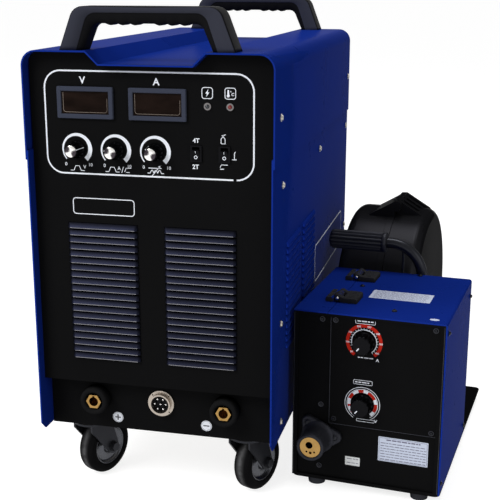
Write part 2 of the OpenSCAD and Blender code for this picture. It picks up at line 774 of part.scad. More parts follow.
// Pan heads on the front, the right wall and the top
module feeder_screws() color("dimgray") at_feeder() {
    for (p = [[40, ftop - 11], [40, ftop - 136], [39, fz + 20]])
        translate([p[0], 3, p[1]]) rotate([90, 0, 0]) pan_head(3);
    for (p = [[flap_w + 11, ftop - 10], [feed_w - fsheet - frame_w - 6, ftop - 10],
              [flap_w + 11, ftop - 154], [feed_w - fsheet - frame_w - 6, ftop - 156]])
        translate([p[0], 1, p[1]]) rotate([90, 0, 0]) pan_head(3);
    for (p = [[14, ftop - 16], [box_d - 8, ftop - 24], [8, fz + 18], [box_d - 8, fz + 16]])
        translate([feed_w, p[0], p[1]]) rotate([0, 90, 0]) pan_head(3);
    for (p = [[flap_w + 15, 138], [132, 35], [tube_x, box_d - 7]])
        translate([p[0], p[1], ftop]) pan_head(3);
}

// ---- flap ------------------------------------------------------------------------------

knuckle_r = 4.5;
pin_r = 2;

// One leaf of a flap hinge, from the pin out to w, and its knuckles at the given stations
module hinge_leaf(s, w, y, stations) {
    upright(y, leaf_l) translate([flap_w, ftop]) polygon([[s * (knuckle_r + 0.8), 0],
        [s * w, 0], [s * w, 5], [s * (w - 2), 7], [s * (knuckle_r + 3), 7],
        [s * (knuckle_r + 0.8), 4]]);
    for (k = stations) translate([flap_w, y + k[0], ftop]) difference() {
        union() {
            translate([0, 0, 6]) rotate([-90, 0, 0]) cylinder(h = k[1], r = knuckle_r);
            translate([s > 0 ? 0 : -knuckle_r - 2, 0, 1.5]) cube([knuckle_r + 2, k[1], 5]);
        }
        translate([0, -1, 6]) rotate([-90, 0, 0]) cylinder(h = k[1] + 2, r = pin_r + run);
    }
}

// Fixed leaves with their pins
module flap_hinges() color("black") at_feeder() for (y = flap_leaf_y) {
    hinge_leaf(1, 28, y, [[0, 9], [27, 9]]);
    bar_y(flap_w, y - 1.5, flap_pin_z, pin_r, leaf_l - 1);
}

// Flap of the top with its lip and the moving leaves of its hinges
module top_flap() color("mediumblue") at_feeder() {
    translate([0, 0, ftop - fsheet]) cube([flap_w - 0.4, flap_l, fsheet]);
    translate([0, 12 + air, ftop - 12]) cube([fsheet - air, flap_l - 12 - air, 12]);
    for (y = flap_leaf_y) hinge_leaf(-1, 17, y, [[9.4, 17.2]]);
}

// ---- handle and torch connector --------------------------------------------------------

module handle_tube() color("black") at_feeder() translate([0, tube_y, 0]) {
    translate([tube_x, 0, bar_z - bend_r - 70]) cylinder(h = 70, r = tube_r);
    translate([tube_x - bend_r, 0, bar_z - bend_r]) rotate([90, 0, 0])
        rotate_extrude(angle = 90, $fn = 72) translate([bend_r, 0]) circle(tube_r);
    bar_x(tube_x - bend_r - 93, 0, bar_z, tube_r, 93);
    // brace and the clamp that holds the tube on the rear wall
    brace_top = bar_z - bend_r + sqrt(bend_r * bend_r - 400);
    translate([tube_x - bend_r + 20, 0, ftop - 30]) cylinder(h = brace_top - ftop + 30, r = 2);
    translate([tube_x - bend_r + 16, -tube_r, ftop - 34]) cube([8, tube_r + 2, 6]);
    translate([tube_x - 16, -tube_r, bar_z - bend_r - 55]) cube([32, 4, 20]);
}

module handle_grip() color("black") at_feeder()
    translate([tube_x - bend_r - 6 - grip_l, tube_y, bar_z]) rotate([0, 90, 0]) {
        cylinder(h = 4, r1 = grip_r - 4, r2 = grip_r - 0.5);
        translate([0, 0, 4]) linear_extrude(grip_l - 10) difference() {
            circle(grip_r);
            for (i = [0:13]) rotate(i * 360 / 14) translate([grip_r + 0.8, 0]) circle(2);
            circle(tube_r);
        }
        translate([0, 0, grip_l - 6]) difference() {
            cylinder(h = 6, r = grip_r);
            translate([0, 0, -1]) cylinder(h = 8, r = tube_r);
        }
    }

// Three-lobed flange and round collar of the torch connector
module torch_flange() color("black") at_feeder()
    translate([torch_x, 3, torch_z]) rotate([90, 0, 0]) difference() {
        union() {
            linear_extrude(7) polygon(concat(arc(25 * cos(5), 25 * sin(5), 9, -55, 65),
                arc(25 * cos(125), 25 * sin(125), 9, 65, 185),
                arc(25 * cos(245), 25 * sin(245), 9, 185, 305)));
            cylinder(h = 46, r = 17);
            translate([0, 0, 34]) cylinder(h = 12, r = 19);
            translate([0, 0, -12]) cylinder(h = 13, r = 16);
        }
        translate([0, 0, -13]) cylinder(h = 70, r = 14.5);
        for (a = [5, 125, 245]) rotate([0, 0, a]) translate([25, 0, 4]) cylinder(h = 4, r = 3.6);
    }

module torch_nose() color("goldenrod") at_feeder()
    translate([torch_x, 3, torch_z]) rotate([90, 0, 0]) difference() {
        translate([0, 0, -18]) cylinder(h = 62, r = 14.5);
        translate([axis_x - torch_x, wire_z - torch_z, -19]) cylinder(h = 80, r = 5);
        for (x = [-5, 0.5, 6]) translate([x, -8 + abs(x) * 0.25, 34])
            cylinder(h = 12, r = x == 0.5 ? 2 : 1.4);
    }

module amps_knob() color("black") at_feeder() knob(dial_x, 1, dial_z[0], dial_r, 20, 16);
module volts_knob() color("black") at_feeder() knob(dial_x, 1, dial_z[1], dial_r, 20, 16);

// ---- spool cover -----------------------------------------------------------------------

// Half profile of the drum: along its axis from xa to the closed face at xb, radius r
module drum_profile(xa, xb, r, edge) {
    s = xb > xa ? 1 : -1;
    polygon(concat([[0, xa], [r, xa], [r, xb - s * edge]],
        [for (i = [1:8]) [r - edge + edge * cos(i * 90 / 8),
                          xb - s * edge + s * edge * sin(i * 90 / 8)]], [[0, xb]]));
}

module drum_solid(xa, xb, r, edge) translate([0, drum_y, drum_z]) rotate([90, 0, 90])
    rotate_extrude($fn = 96) drum_profile(xa, xb, r, edge);

gusset = 10;
gusset_gap = 0.8;

// Roof-shaped gusset in X and Z on the side s of the hinge pin
module gusset_outline(s) translate([split_x, hinge_z]) {
    polygon([[-s * 6, 8], [s * 3, 8.5], [s * 44, -16], [s * 44, -40], [s * 1.5, -40],
             [s * 1.5, -8.4], [-s * 5, -8], [-s * 8.5, -3], [-s * 8.5, 4]]);
}

module gussets(s, first) for (k = [first:2:7])
    upright(drum_y - 43.2 + k * (gusset + gusset_gap), gusset) difference() {
        gusset_outline(s);
        if (s > 0) translate([split_x, hinge_z]) circle(2.5 + run);
    }

module spool_shell() color("black") at_feeder() {
    difference() {
        union() {
            drum_solid(split_x - air, drum_x, drum_r, drum_edge);
            drum_solid(split_x - air, split_x - 11, drum_r + 0.9, 0.5);
            gussets(-1, 0);
            translate([18, drum_y - 42, ffloor]) cube([36, 34, 30]);
        }
        drum_solid(split_x + 1, drum_x + drum_t, drum_r - drum_t, drum_edge - drum_t);
        bar_x(drum_x - 5, drum_y, drum_z, spindle_r, 20);
        bar_y(axis_x, drum_y - drum_r - 5, wire_z, 6, 60);
    }
    bar_y(split_x, drum_y - 43.2, hinge_z, 2.5, 8 * (gusset + gusset_gap) - gusset_gap);
}

module spool_lid() color("black") at_feeder() difference() {
    union() {
        drum_solid(split_x + air, drum_x + drum_w, drum_r, drum_edge);
        gussets(1, 1);
    }
    drum_solid(split_x - 1, drum_x + drum_w - drum_t, drum_r - drum_t, drum_edge - drum_t);
}

module spool_axle() color("silver") at_feeder() {
    bar_x(drum_x - 3, drum_y, drum_z, spindle_r, drum_w - 8);
    bar_x(drum_x - 3, drum_y, drum_z, 20, 3);
    bar_x(drum_x + drum_t, drum_y, drum_z, 38, 3);
    translate([drum_x + drum_w - 18, drum_y, drum_z]) rotate([0, 90, 0])
        cylinder(h = 7, r = 14, $fn = 6);
}

module spool_hub() color("gray") at_feeder()
    translate([drum_x + drum_t + 3 + air, drum_y, drum_z]) rotate([0, 90, 0]) difference() {
        l = drum_w - 18 - drum_t - 3 - 2 * air;
        union() {
            cylinder(h = l, r = hub_r);
            cylinder(h = 5, r = hub_r + 11);
        }
        translate([0, 0, -1]) cylinder(h = l + 2, r = spindle_r + run);
        for (a = [0:60:300]) rotate([0, 0, a]) translate([hub_r - 8, 0, 8]) cylinder(h = l, r = 5);
    }

// ---- wire drive ------------------------------------------------------------------------

plate_x = 50;
plate_w = 8;

module feed_plate() color("silver") at_feeder() difference() {
    union() {
        sideways(plate_x, plate_w) polygon([[40, ffloor], [168, ffloor], [168, pivot_z + 14],
            [pivot_y - 12, pivot_z + 20], [58, high_z + 10], [40, wire_z + 10]]);
        translate([plate_x, 40, ffloor]) cube([34, 128, 4]);
        bar_x(arm_x - 4, pivot_y, pivot_z, 4, plate_x - arm_x + 5);
        // inlet and outlet guides on the wire line
        bar_y(axis_x, roll_y + 22, wire_z, 4, 40);
        bar_y(axis_x, 46, wire_z, 4, roll_y - 68);
        translate([axis_x, roll_y + 28, wire_z - 5]) cube([plate_x - axis_x + 1, 20, 10]);
        translate([axis_x, 50, wire_z - 5]) cube([plate_x - axis_x + 1, 20, 10]);
        // lug under the tension screw
        translate([arm_x, screw_y - 6, wire_z + 6]) cube([plate_x - arm_x + 1, 12, 6]);
        translate([axis_x + 6, screw_y - 6, wire_z - 1]) cube([plate_x - axis_x - 5, 12, 8]);
    }
    bar_y(axis_x, 0, wire_z, 1.2, 200);
    bar_x(plate_x - 1, roll_y, low_z, 9, plate_w + 2);
}

module gear_motor() color("dimgray") at_feeder() difference() {
    union() {
        bar_x(plate_x + plate_w, roll_y, low_z, 33, 26);
        bar_x(plate_x + plate_w + 26, roll_y, low_z, 30, 70);
        bar_x(plate_x + plate_w + 96, roll_y, low_z, 24, 6);
        bar_x(plate_x, roll_y, low_z, 9, plate_w);
    }
    bar_x(plate_x - 1, roll_y, low_z, 5 + run, 30);
}

// Spur gear outline: straight-flanked teeth, the first tooth turned by a
module gear_outline(a) {
    tip = pitch_r + 0.85 * gear_m;
    root = pitch_r - 1.15 * gear_m;
    step = 360 / teeth;
    polygon([for (i = [0:teeth - 1], c = [[-0.30, root], [-0.13, tip], [0.13, tip], [0.30, root]])
        let (t = a + (i + c[0]) * step) [c[1] * cos(t), c[1] * sin(t)]]);
}

roll_r = pitch_r - wire_d / 2;
roll_x = axis_x - 6;
gear_x = roll_x + 12;

// Grooved roll with its gear, along +X from the roll's outer face
module roll(bore, a) difference() {
    union() {
        rotate([90, 0, 90]) rotate_extrude($fn = 72) polygon([[0, 0], [roll_r - 1, 0], [roll_r, 1],
            [roll_r, 5], [roll_r - 0.9, 6], [roll_r, 7], [roll_r, 11], [roll_r - 1, 12], [0, 12]]);
        rotate([90, 0, 90]) translate([0, 0, 12]) linear_extrude(6) gear_outline(a);
    }
    if (bore > 0) bar_x(-1, 0, 0, bore, 30);
}

module feed_roll() color("silver") at_feeder() translate([roll_x, roll_y, low_z]) {
    roll(0, 90);
    bar_x(-3, 0, 0, 5, plate_x - roll_x + 25);
    translate([-8, 0, 0]) rotate([0, 90, 0]) cylinder(h = 8, r = 8, $fn = 6);
}

module pressure_arm() color("dimgray") at_feeder() difference() {
    union() {
        sideways(arm_x, arm_t) polygon(concat(
            arc(pivot_y, pivot_z, 9, -80, 90),
            [[roll_y, high_z + 22], [screw_y + 10, high_z + 16], [screw_y - 8, high_z + 16], [screw_y - 8, high_z + 4],
             [roll_y - 14, high_z + 2]],
            arc(roll_y, high_z, 9, 200, 300)));
        bar_x(arm_x, roll_y, high_z, 4, gear_x + 6.6 - arm_x);
    }
    bar_x(arm_x - 5, pivot_y, pivot_z, 4 + run, arm_t + 10);
    translate([arm_x + arm_t / 2, screw_y, high_z]) cylinder(h = 40, r = 2.5 + run);
}

module pressure_roll() color("silver") at_feeder() translate([roll_x, roll_y, high_z])
    roll(4 + run, 90 + 180 / teeth);

module tension_knob() color("black") at_feeder()
    translate([arm_x + arm_t / 2, screw_y, 0]) {
        base = high_z + 16 + 1.5;
        translate([0, 0, base]) cylinder(h = 3, r = 8);
        difference() {
            translate([0, 0, base + 3]) cylinder(h = 16, r1 = 9, r2 = 8);
            for (i = [0:7]) rotate([0, 0, i * 45]) translate([10, 0, base + 5])
                cylinder(h = 20, r = 2.4);
        }
        translate([0, 0, wire_z + 12 + air]) cylinder(h = base - wire_z - 12, r = 2.5);
    }

// ---- output ----------------------------------------------------------------------------

chassis_tray();
hood();
left_panel();
right_panel();
front_panel();
connector_panel();
rear_panel();
carry_handles();
cover_screws();
meter_bezels();
meter_lenses();
indicator_lamps();
rocker_frames();
socket_collars();
socket_inserts();
control_socket();
control_insert();
power_block();
breaker_body();
mains_gland();
caster_plates();
rear_brackets();
caster_bolts();
fan_rotor();
knob_left();
knob_middle();
knob_right();
rocker_step();
rocker_gas();
breaker_toggle();
front_left_fork();
front_right_fork();
front_left_wheel();
front_right_wheel();
rear_left_wheel();
rear_right_wheel();
feeder_tray();
feeder_feet();
feeder_front();
control_plate();
feeder_cover();
feeder_screws();
flap_hinges();
top_flap();
handle_tube();
handle_grip();
torch_flange();
torch_nose();
amps_knob();
volts_knob();
spool_shell();
spool_lid();
spool_axle();
spool_hub();
feed_plate();
gear_motor();
feed_roll();
pressure_arm();
pressure_roll();
tension_knob();
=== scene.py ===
import json
import math

import bmesh
import bpy
import numpy as np
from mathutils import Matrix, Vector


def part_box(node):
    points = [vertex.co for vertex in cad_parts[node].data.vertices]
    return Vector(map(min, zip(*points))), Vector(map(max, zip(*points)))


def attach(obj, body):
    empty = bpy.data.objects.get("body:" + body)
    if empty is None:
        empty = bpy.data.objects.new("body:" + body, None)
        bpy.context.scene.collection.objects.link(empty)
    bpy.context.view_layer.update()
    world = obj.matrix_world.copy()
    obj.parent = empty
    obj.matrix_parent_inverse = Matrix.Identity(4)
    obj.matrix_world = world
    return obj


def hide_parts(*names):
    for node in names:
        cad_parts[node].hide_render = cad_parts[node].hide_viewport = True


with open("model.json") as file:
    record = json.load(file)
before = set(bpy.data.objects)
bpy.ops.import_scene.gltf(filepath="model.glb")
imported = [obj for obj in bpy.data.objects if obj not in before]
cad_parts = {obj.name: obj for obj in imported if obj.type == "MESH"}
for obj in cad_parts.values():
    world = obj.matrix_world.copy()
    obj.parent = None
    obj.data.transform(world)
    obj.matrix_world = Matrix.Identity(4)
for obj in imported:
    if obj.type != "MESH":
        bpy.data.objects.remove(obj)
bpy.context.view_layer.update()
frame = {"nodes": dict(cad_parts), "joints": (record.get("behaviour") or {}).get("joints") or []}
nodes = frame["nodes"]

# ---- Where the two units stand ----
# The power source stands square to the frame. The wire feeder beside it is turned a little,
# as its dial's axis says. A wall is an origin, a direction to the right, one up, one out.
# Lengths are millimetres, which on() turns into the frame's metres.

mm = 0.001
up = np.array([0.0, 0.0, 1.0])
joint = {j["name"]: j for j in frame["joints"]}


def wall(origin, right, upward):
    """A flat face: its origin, its two directions, and their cross product, which points out."""
    return np.asarray(origin, float), right, upward, np.cross(right, upward)


def pivot(name):
    """Where a joint turns."""
    return np.array(joint[name]["pos_m"]) / mm


hood_low, hood_high = [np.array(corner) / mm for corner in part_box("hood")]
cabinet = np.array([(hood_low[0] + hood_high[0]) / 2, hood_low[1], 0.0])
cabinet_half = (hood_high[0] - hood_low[0]) / 2
cabinet_depth = hood_high[1] - hood_low[1]
cabinet_top = hood_high[2]
cabinet_right = np.array([1.0, 0.0, 0.0])
cabinet_back = np.array([0.0, 1.0, 0.0])

feeder_back = -np.array(joint["amps_knob_turn"]["axis"])
feeder_right = np.array([feeder_back[1], -feeder_back[0], 0.0])
dial_inset, plate_inset, wall_inset = 99, 1, 3
feeder = pivot("amps_knob_turn") - dial_inset * feeder_right - plate_inset * feeder_back
feeder[2] = 0.0
feeder_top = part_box("feeder_cover")[1].z / mm

front_inset, connector_inset = 16, 38
control_face = wall(cabinet + front_inset * cabinet_back, cabinet_right, up)
connector_face = wall(cabinet + connector_inset * cabinet_back, cabinet_right, up)
right_face = wall(cabinet + cabinet_half * cabinet_right, cabinet_back, up)
left_face = wall(cabinet - cabinet_half * cabinet_right, -cabinet_back, up)
feeder_face = wall(feeder + wall_inset * feeder_back, feeder_right, up)
dial_face = wall(feeder + plate_inset * feeder_back, feeder_right, up)
feeder_lid_face = wall(feeder + feeder_top * up, feeder_right, feeder_back)

# ---- Painted sheet steel ----
# Hood, side panels and the feeder's cover are folded from sheet and sprayed in glossy blue.
# The front, connector and rear panels are powder coated in black with a fine grain.


def feed(tree, node, inputs):
    """Sets a node's inputs by name or number: a socket is linked, anything else is a value."""
    for name, value in inputs.items():
        if isinstance(value, bpy.types.NodeSocket):
            tree.links.new(value, node.inputs[name])
        else:
            node.inputs[name].default_value = value


def shader(tree, kind, inputs, **settings):
    """Adds a node of a kind, with its settings and its inputs, and gives its outputs."""
    node = tree.nodes.new("ShaderNode" + kind)
    for name, value in settings.items():
        setattr(node, name, value)
    feed(tree, node, inputs)
    return node.outputs


def finish(name, colour, roughness, metallic=0.0, grain=900.0, relief=0.02, mottling=0.08,
           patch=9.0, streak=(1.0, 1.0, 1.0), specular=0.0, edge=1.0):
    """A Principled finish on Object coordinates: a noise of `grain` cells per metre raises the
    surface by up to `relief` mm, and a slow noise of `patch` cells per metre varies the
    colour's brightness and the roughness by `mottling`, stretched along `streak`. `specular`
    sets the coat's reflection face on, and `edge` its tint at a grazing angle."""
    material = bpy.data.materials.new(name)
    material.use_nodes = True
    tree = material.node_tree
    spread = mottling * 1.5
    stretch = shader(tree, "Mapping", {
        "Vector": shader(tree, "TexCoord", {})["Object"], "Scale": streak})[0]
    slow = shader(tree, "TexNoise", {"Vector": stretch, "Scale": patch, "Detail": 5.0})["Fac"]
    fine = shader(tree, "TexNoise", {"Vector": stretch, "Scale": grain, "Detail": 3.0})["Fac"]
    tint = shader(tree, "Mix", {
        "Factor": slow, "A": [c * (1 - mottling) for c in colour] + [1],
        "B": [min(1, c * (1 + mottling)) for c in colour] + [1]}, data_type="RGBA")["Result"]
    gloss = shader(tree, "MapRange", {
        "Value": slow, "To Min": roughness * (1 - spread), "To Max": roughness * (1 + spread)})[0]
    bump = shader(tree, "Bump", {"Height": fine, "Strength": 0.35, "Distance": relief * mm})[0]
    feed(tree, tree.nodes["Principled BSDF"], {
        "Base Color": tint, "Roughness": gloss, "Normal": bump, "Metallic": metallic,
        "Specular IOR Level": specular, "Specular Tint": (edge, edge, edge, 1)})
    return material


def dress(material, *names):
    """Gives CAD nodes a finish in place of their plain colour."""
    for name in names:
        nodes[name].data.materials.clear()
        nodes[name].data.materials.append(material)


blue_paint = finish("blue_paint", (0.007, 0.026, 0.23), 0.28, metallic=0.35, grain=260,
                    relief=0.05, edge=0.1)
black_coat = finish("black_coat", (0.006, 0.006, 0.0063), 0.5, metallic=0.35, grain=1400,
                    relief=0.12, mottling=0.15, edge=0.3)
dress(blue_paint, "hood", "left_panel", "right_panel", "feeder_cover", "top_flap")
dress(black_coat, "front_panel", "connector_panel", "rear_panel", "feeder_front",
      "control_plate", "feeder_tray")

# ---- Metal and plastic parts inside and underneath ----
# Zinc plated chassis, screws and caster plates, extruded aluminium heat sink, turned steel
# rolls and axle, and black moulded plastic bodies, all in their plain mill or mould finish.

zinc = finish("zinc_plate", (0.42, 0.4, 0.36), 0.33, metallic=1.0, relief=0.03, mottling=0.2,
              patch=60)
steel = finish("turned_steel", (0.5, 0.5, 0.5), 0.28, metallic=1.0, mottling=0.15, patch=80)
dark_steel = finish("fork_steel", (0.03, 0.031, 0.036), 0.42, metallic=0.7, grain=500,
                    relief=0.05, mottling=0.3, patch=50)
aluminium = finish("extruded_aluminium", (0.6, 0.6, 0.61), 0.35, metallic=1.0, grain=300,
                   relief=0.03, streak=(1, 0.05, 1))
brass = finish("turned_brass", (0.36, 0.215, 0.07), 0.3, metallic=1.0, grain=1200,
               mottling=0.25, patch=120)
lamp_rim = finish("lamp_rim", (0.2, 0.19, 0.19), 0.3, metallic=1.0, grain=700, relief=0.01)
screw_black = finish("screw_black", (0.028, 0.029, 0.034), 0.26, metallic=0.8, grain=500,
                     edge=0.6)
chrome = finish("bright_chrome", (0.7, 0.69, 0.68), 0.12, metallic=1.0, grain=700, relief=0.01)
black_plastic = finish("black_plastic", (0.011, 0.011, 0.012), 0.36, metallic=0.6, grain=1600,
                       relief=0.06, mottling=0.12, edge=0.25)
gloss_black = finish("gloss_black", (0.008, 0.008, 0.009), 0.19, metallic=0.75, grain=300,
                     edge=0.4)
rubber = finish("rubber", (0.034, 0.035, 0.041), 0.4, metallic=0.5, relief=0.08, mottling=0.2,
                edge=0.3)
drum_black = finish("drum_black", (0.016, 0.016, 0.018), 0.3, metallic=0.6, relief=0.05,
                    mottling=0.15, edge=0.12)
tube_black = finish("tube_black", (0.03, 0.031, 0.036), 0.25, metallic=0.7, grain=400, edge=0.4)
dress(zinc, "chassis_tray", "cover_screws", "caster_plates", "caster_bolts")
dress(steel, "spool_axle", "feed_roll", "pressure_arm", "pressure_roll")
dress(aluminium, "power_block", "feed_plate")
dress(brass, "socket_inserts", "torch_nose")
dress(lamp_rim, "indicator_lamps")
dress(screw_black, "feeder_screws")
dress(black_plastic, "carry_handles", "socket_collars", "control_insert", "breaker_body",
      "breaker_toggle", "mains_gland", "fan_rotor", "flap_hinges", "torch_flange", "spool_hub",
      "tension_knob", "gear_motor")
dress(drum_black, "spool_shell", "spool_lid")
dress(tube_black, "handle_tube")
dress(gloss_black, "rocker_frames", "rocker_step", "rocker_gas", "knob_left", "knob_middle",
      "knob_right", "amps_knob", "volts_knob")
dress(rubber, "feeder_feet", "handle_grip", "front_left_wheel", "front_right_wheel",
      "rear_left_wheel", "rear_right_wheel")
dress(dark_steel, "front_left_fork", "front_right_fork", "rear_brackets")
dress(finish("bezel_grey", (0.043, 0.049, 0.072), 0.5, grain=1500, relief=0.05), "meter_bezels")
dress(finish("red_window", (0.0095, 0.0055, 0.0042), 0.14, grain=80, relief=0.03, mottling=1.0,
             patch=38, streak=(0.7, 1, 2.2), specular=0.02), "meter_lenses")

# ---- Studio ----
# A pale floor that runs to the horizon, a broad key light from the front left, a weaker
# fill from the right, and a long-lens camera at standing height. Both floor and sky are
# white to the camera and in reflections, and give the object a plain grey light.


def put(name, data):
    """A new object in the scene."""
    made = bpy.data.objects.new(name, data)
    bpy.context.scene.collection.objects.link(made)
    return made


def pale_floor():
    """White to the camera and in reflections, apart from the object's shadow, and a plain pale
    grey to the light that it bounces."""
    material = bpy.data.materials.new("pale_floor")
    material.use_nodes = True
    tree = material.node_tree
    tree.nodes.remove(tree.nodes["Principled BSDF"])
    bounce = shader(tree, "BsdfDiffuse", {"Color": (0.6, 0.6, 0.6, 1)})[0]
    shade = shader(tree, "BsdfDiffuse", {"Color": (0.42, 0.42, 0.42, 1)})[0]
    glow = shader(tree, "Emission", {"Strength": 0.8})[0]
    seen = shader(tree, "AddShader", {0: shade, 1: glow})[0]
    path = shader(tree, "LightPath", {})
    either = shader(tree, "Math", {0: path["Is Camera Ray"], 1: path["Is Glossy Ray"]},
                    operation="MAXIMUM")[0]
    surface = shader(tree, "MixShader", {"Fac": either, 1: bounce, 2: seen})[0]
    feed(tree, tree.nodes["Material Output"], {"Surface": surface})
    return material


def studio_sky():
    """White to the camera, white in reflections below a height of the ray's direction, and a
    weaker white light elsewhere."""
    world = bpy.data.worlds.new("studio")
    world.use_nodes = True
    tree = world.node_tree
    sky = tree.nodes["Background"]
    feed(tree, sky, {"Color": (1, 1, 1, 1), "Strength": 0.45})
    seen = shader(tree, "Background", {"Strength": 1.0})[0]
    path = shader(tree, "LightPath", {})
    ray = shader(tree, "TexCoord", {})["Generated"]
    height = shader(tree, "SeparateXYZ", {0: ray})["Z"]
    low = shader(tree, "MapRange", {"Value": height, "From Min": 0.45, "From Max": 0.15})[0]
    glossy = shader(tree, "Math", {0: low, 1: path["Is Glossy Ray"]}, operation="MULTIPLY")[0]
    white = shader(tree, "Math", {0: glossy, 1: path["Is Camera Ray"]}, operation="MAXIMUM")[0]
    mix = shader(tree, "MixShader", {"Fac": white, 1: sky.outputs[0], 2: seen})[0]
    feed(tree, tree.nodes["World Output"], {"Surface": mix})
    return world


def softbox(name, place, target, size, power):
    """A square area lamp at a place, facing a target, all in metres."""
    data = bpy.data.lights.new(name, "AREA")
    data.size = size
    data.energy = power
    lamp = put(name, data)
    facing = (Vector(target) - Vector(place)).to_track_quat("-Z", "Y")
    lamp.location, lamp.rotation_euler = place, facing.to_euler()


reach = 60
corners = [(x * reach, y * reach, 0) for x, y in ((-1, -1), (1, -1), (1, 1), (-1, 1))]
floor_data = bpy.data.meshes.new("floor")
floor_data.from_pydata(corners, [], [(0, 1, 2, 3)])
floor_data.materials.append(pale_floor())
put("floor", floor_data)
bpy.context.scene.world = studio_sky()

softbox("key_light", (-1.9, -2.3, 2.6), (0, 0, 0.3), 1.6, 95)
softbox("fill_light", (2.6, -1.6, 1.6), (0.1, 0, 0.3), 1.8, 12)
softbox("top_light", (0.2, 0.6, 2.9), (0.1, 0, 0.4), 1.4, 34)

camera_data = bpy.data.cameras.new("camera")
camera_data.lens = 75.7
camera_data.shift_x = 0.01165
camera_data.shift_y = 0.0159
camera = put("camera", camera_data)
camera.location = (cabinet + [427.34, -1244.95, 702.37]) * mm
camera.rotation_euler = (math.radians(90 - 14.95), 0, math.radians(13.59))
bpy.context.scene.camera = camera
bpy.context.scene.view_settings.view_transform = "Standard"

# ---- Printed scales and symbols of the control panel ----
# White screen printing a tenth of a millimetre proud of the coat: a rounded outline, letters
# over the meters, a swelling arc around each knob, and small line symbols.

print_height = 0.12


def at(face, points):
    """Points (along, upwards, out) of a face, as millimetres of the frame."""
    origin, right, upward, out = face
    points = np.atleast_2d(points)
    return origin + points[:, :1] * right + points[:, 1:2] * upward + points[:, 2:3] * out


def on(face, points):
    """The same points in metres."""
    return at(face, points) * mm


def make_piece(name, parts, body, material, smooth=False):
    """A mesh object at the origin from (points, faces) pairs, riding on a body. Points that
    meet are merged, and the faces are turned outwards."""
    points, faces = [], []
    for part_points, part_faces in parts:
        faces += [[int(i) + len(points) for i in face] for face in part_faces]
        points += part_points.tolist()
    data = bpy.data.meshes.new(name)
    data.from_pydata(points, [], faces)
    work = bmesh.new()
    work.from_mesh(data)
    bmesh.ops.remove_doubles(work, verts=work.verts, dist=0.003 * mm)
    bmesh.ops.recalc_face_normals(work, faces=work.faces)
    work.to_mesh(data)
    work.free()
    data.polygons.foreach_set("use_smooth", [smooth] * len(data.polygons))
    data.materials.append(material)
    data.update()
    made = put(name, data)
    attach(made, body)
    return made


def grid(rows, columns, rows_meet, columns_meet=True):
    """Quads of a grid of points, counted row by row. Its last row or column may meet the first."""
    row, column = np.meshgrid(np.arange(rows if rows_meet else rows - 1),
                              np.arange(columns if columns_meet else columns - 1),
                              indexing="ij")
    after, above = (column + 1) % columns, (row + 1) % rows
    quads = [row * columns + column, row * columns + after,
             above * columns + after, above * columns + column]
    return np.stack(quads, -1).reshape(-1, 4).tolist()


def skin(rings, face, cap=True, loop=False):
    """Quads between successive rings of equal point count, given as (ring, point, 3) in a face's
    own directions. Its first and last rings are closed flat, or joined to each other."""
    rings = np.asarray(rings, float)
    m, n = rings.shape[:2]
    faces = grid(m, n, loop)
    if cap and not loop:
        faces += [list(range(n))[::-1], list(range((m - 1) * n, m * n))]
    return on(face, rings.reshape(-1, 3)), faces


def at_height(outline, height):
    """A flat outline's points at a height over their face."""
    return np.column_stack([outline, np.full(len(outline), height)])


def slab(outline, height, face):
    """A flat outline raised from its face."""
    return skin([at_height(outline, 0), at_height(outline, height)], face)


def normals(path, closed=True):
    """A path's unit normals, which point to its left."""
    step = np.roll(path, -1, 0) - np.roll(path, 1, 0)
    if not closed:
        step[0], step[-1] = path[1] - path[0], path[-1] - path[-2]
    step /= np.linalg.norm(step, axis=1)[:, None]
    return np.column_stack([-step[:, 1], step[:, 0]])


def ribbon(path, width, face, height=print_height, closed=False):
    """A line of a given width, one number or one for each point, raised from the face: each
    point is pushed half a width to either side along its normal."""
    path = np.asarray(path, float)
    side = normals(path, closed) * np.broadcast_to(width, len(path))[:, None] / 2
    section = ((path - side, height), (path + side, height), (path + side, 0), (path - side, 0))
    return skin(np.stack([at_height(*edge) for edge in section], 1), face, loop=closed)


def turn_arc(centre, radius, start, end, n=24):
    """Points of a circle from one angle to another, in degrees anticlockwise from the right."""
    angle = np.radians(np.linspace(start, end, n))
    return np.column_stack([centre[0] + radius * np.cos(angle), centre[1] + radius * np.sin(angle)])


def circle(centre, radius, n):
    """Points all round a circle, at even steps."""
    return turn_arc(centre, radius, 0, 360 - 360 / n, n)


def rounded_box(centre, width, height, radius, n=6):
    """A rectangle's outline with quarter circles for corners, anticlockwise."""
    x, z = width / 2 - radius, height / 2 - radius
    return np.vstack([turn_arc((centre[0] + sx * x, centre[1] + sz * z), radius, a, a + 90, n)
                      for sx, sz, a in ((1, 1, 0), (-1, 1, 90), (-1, -1, 180), (1, -1, 270))])


def points_of(mesh):
    """A mesh's points as an array, in millimetres."""
    return np.array([v.co for v in mesh.vertices]) / mm


def lettering(text, centre, height, face, bold):
    """Plain letters of a cap height, centred on a point of a face, thickened by bold."""
    cap_share = 0.69
    curve = bpy.data.curves.new("lettering", "FONT")
    curve.body = text
    curve.size = height * mm / cap_share
    curve.align_x = "CENTER"
    curve.resolution_u = 3
    curve.offset = bold * mm
    curve.extrude = print_height * mm / 2
    holder = put("lettering", curve)
    mesh = bpy.data.meshes.new_from_object(holder)
    bpy.data.objects.remove(holder)
    points = points_of(mesh) + [centre[0], centre[1] - height / 2, print_height / 2]
    return on(face, points), [list(p.vertices) for p in mesh.polygons]


white_ink = finish("white_print", (0.84, 0.87, 0.95), 0.45)


def white_print(name, parts, body="power_source"):
    """Parts printed in white."""
    make_piece(name, parts, body, white_ink)


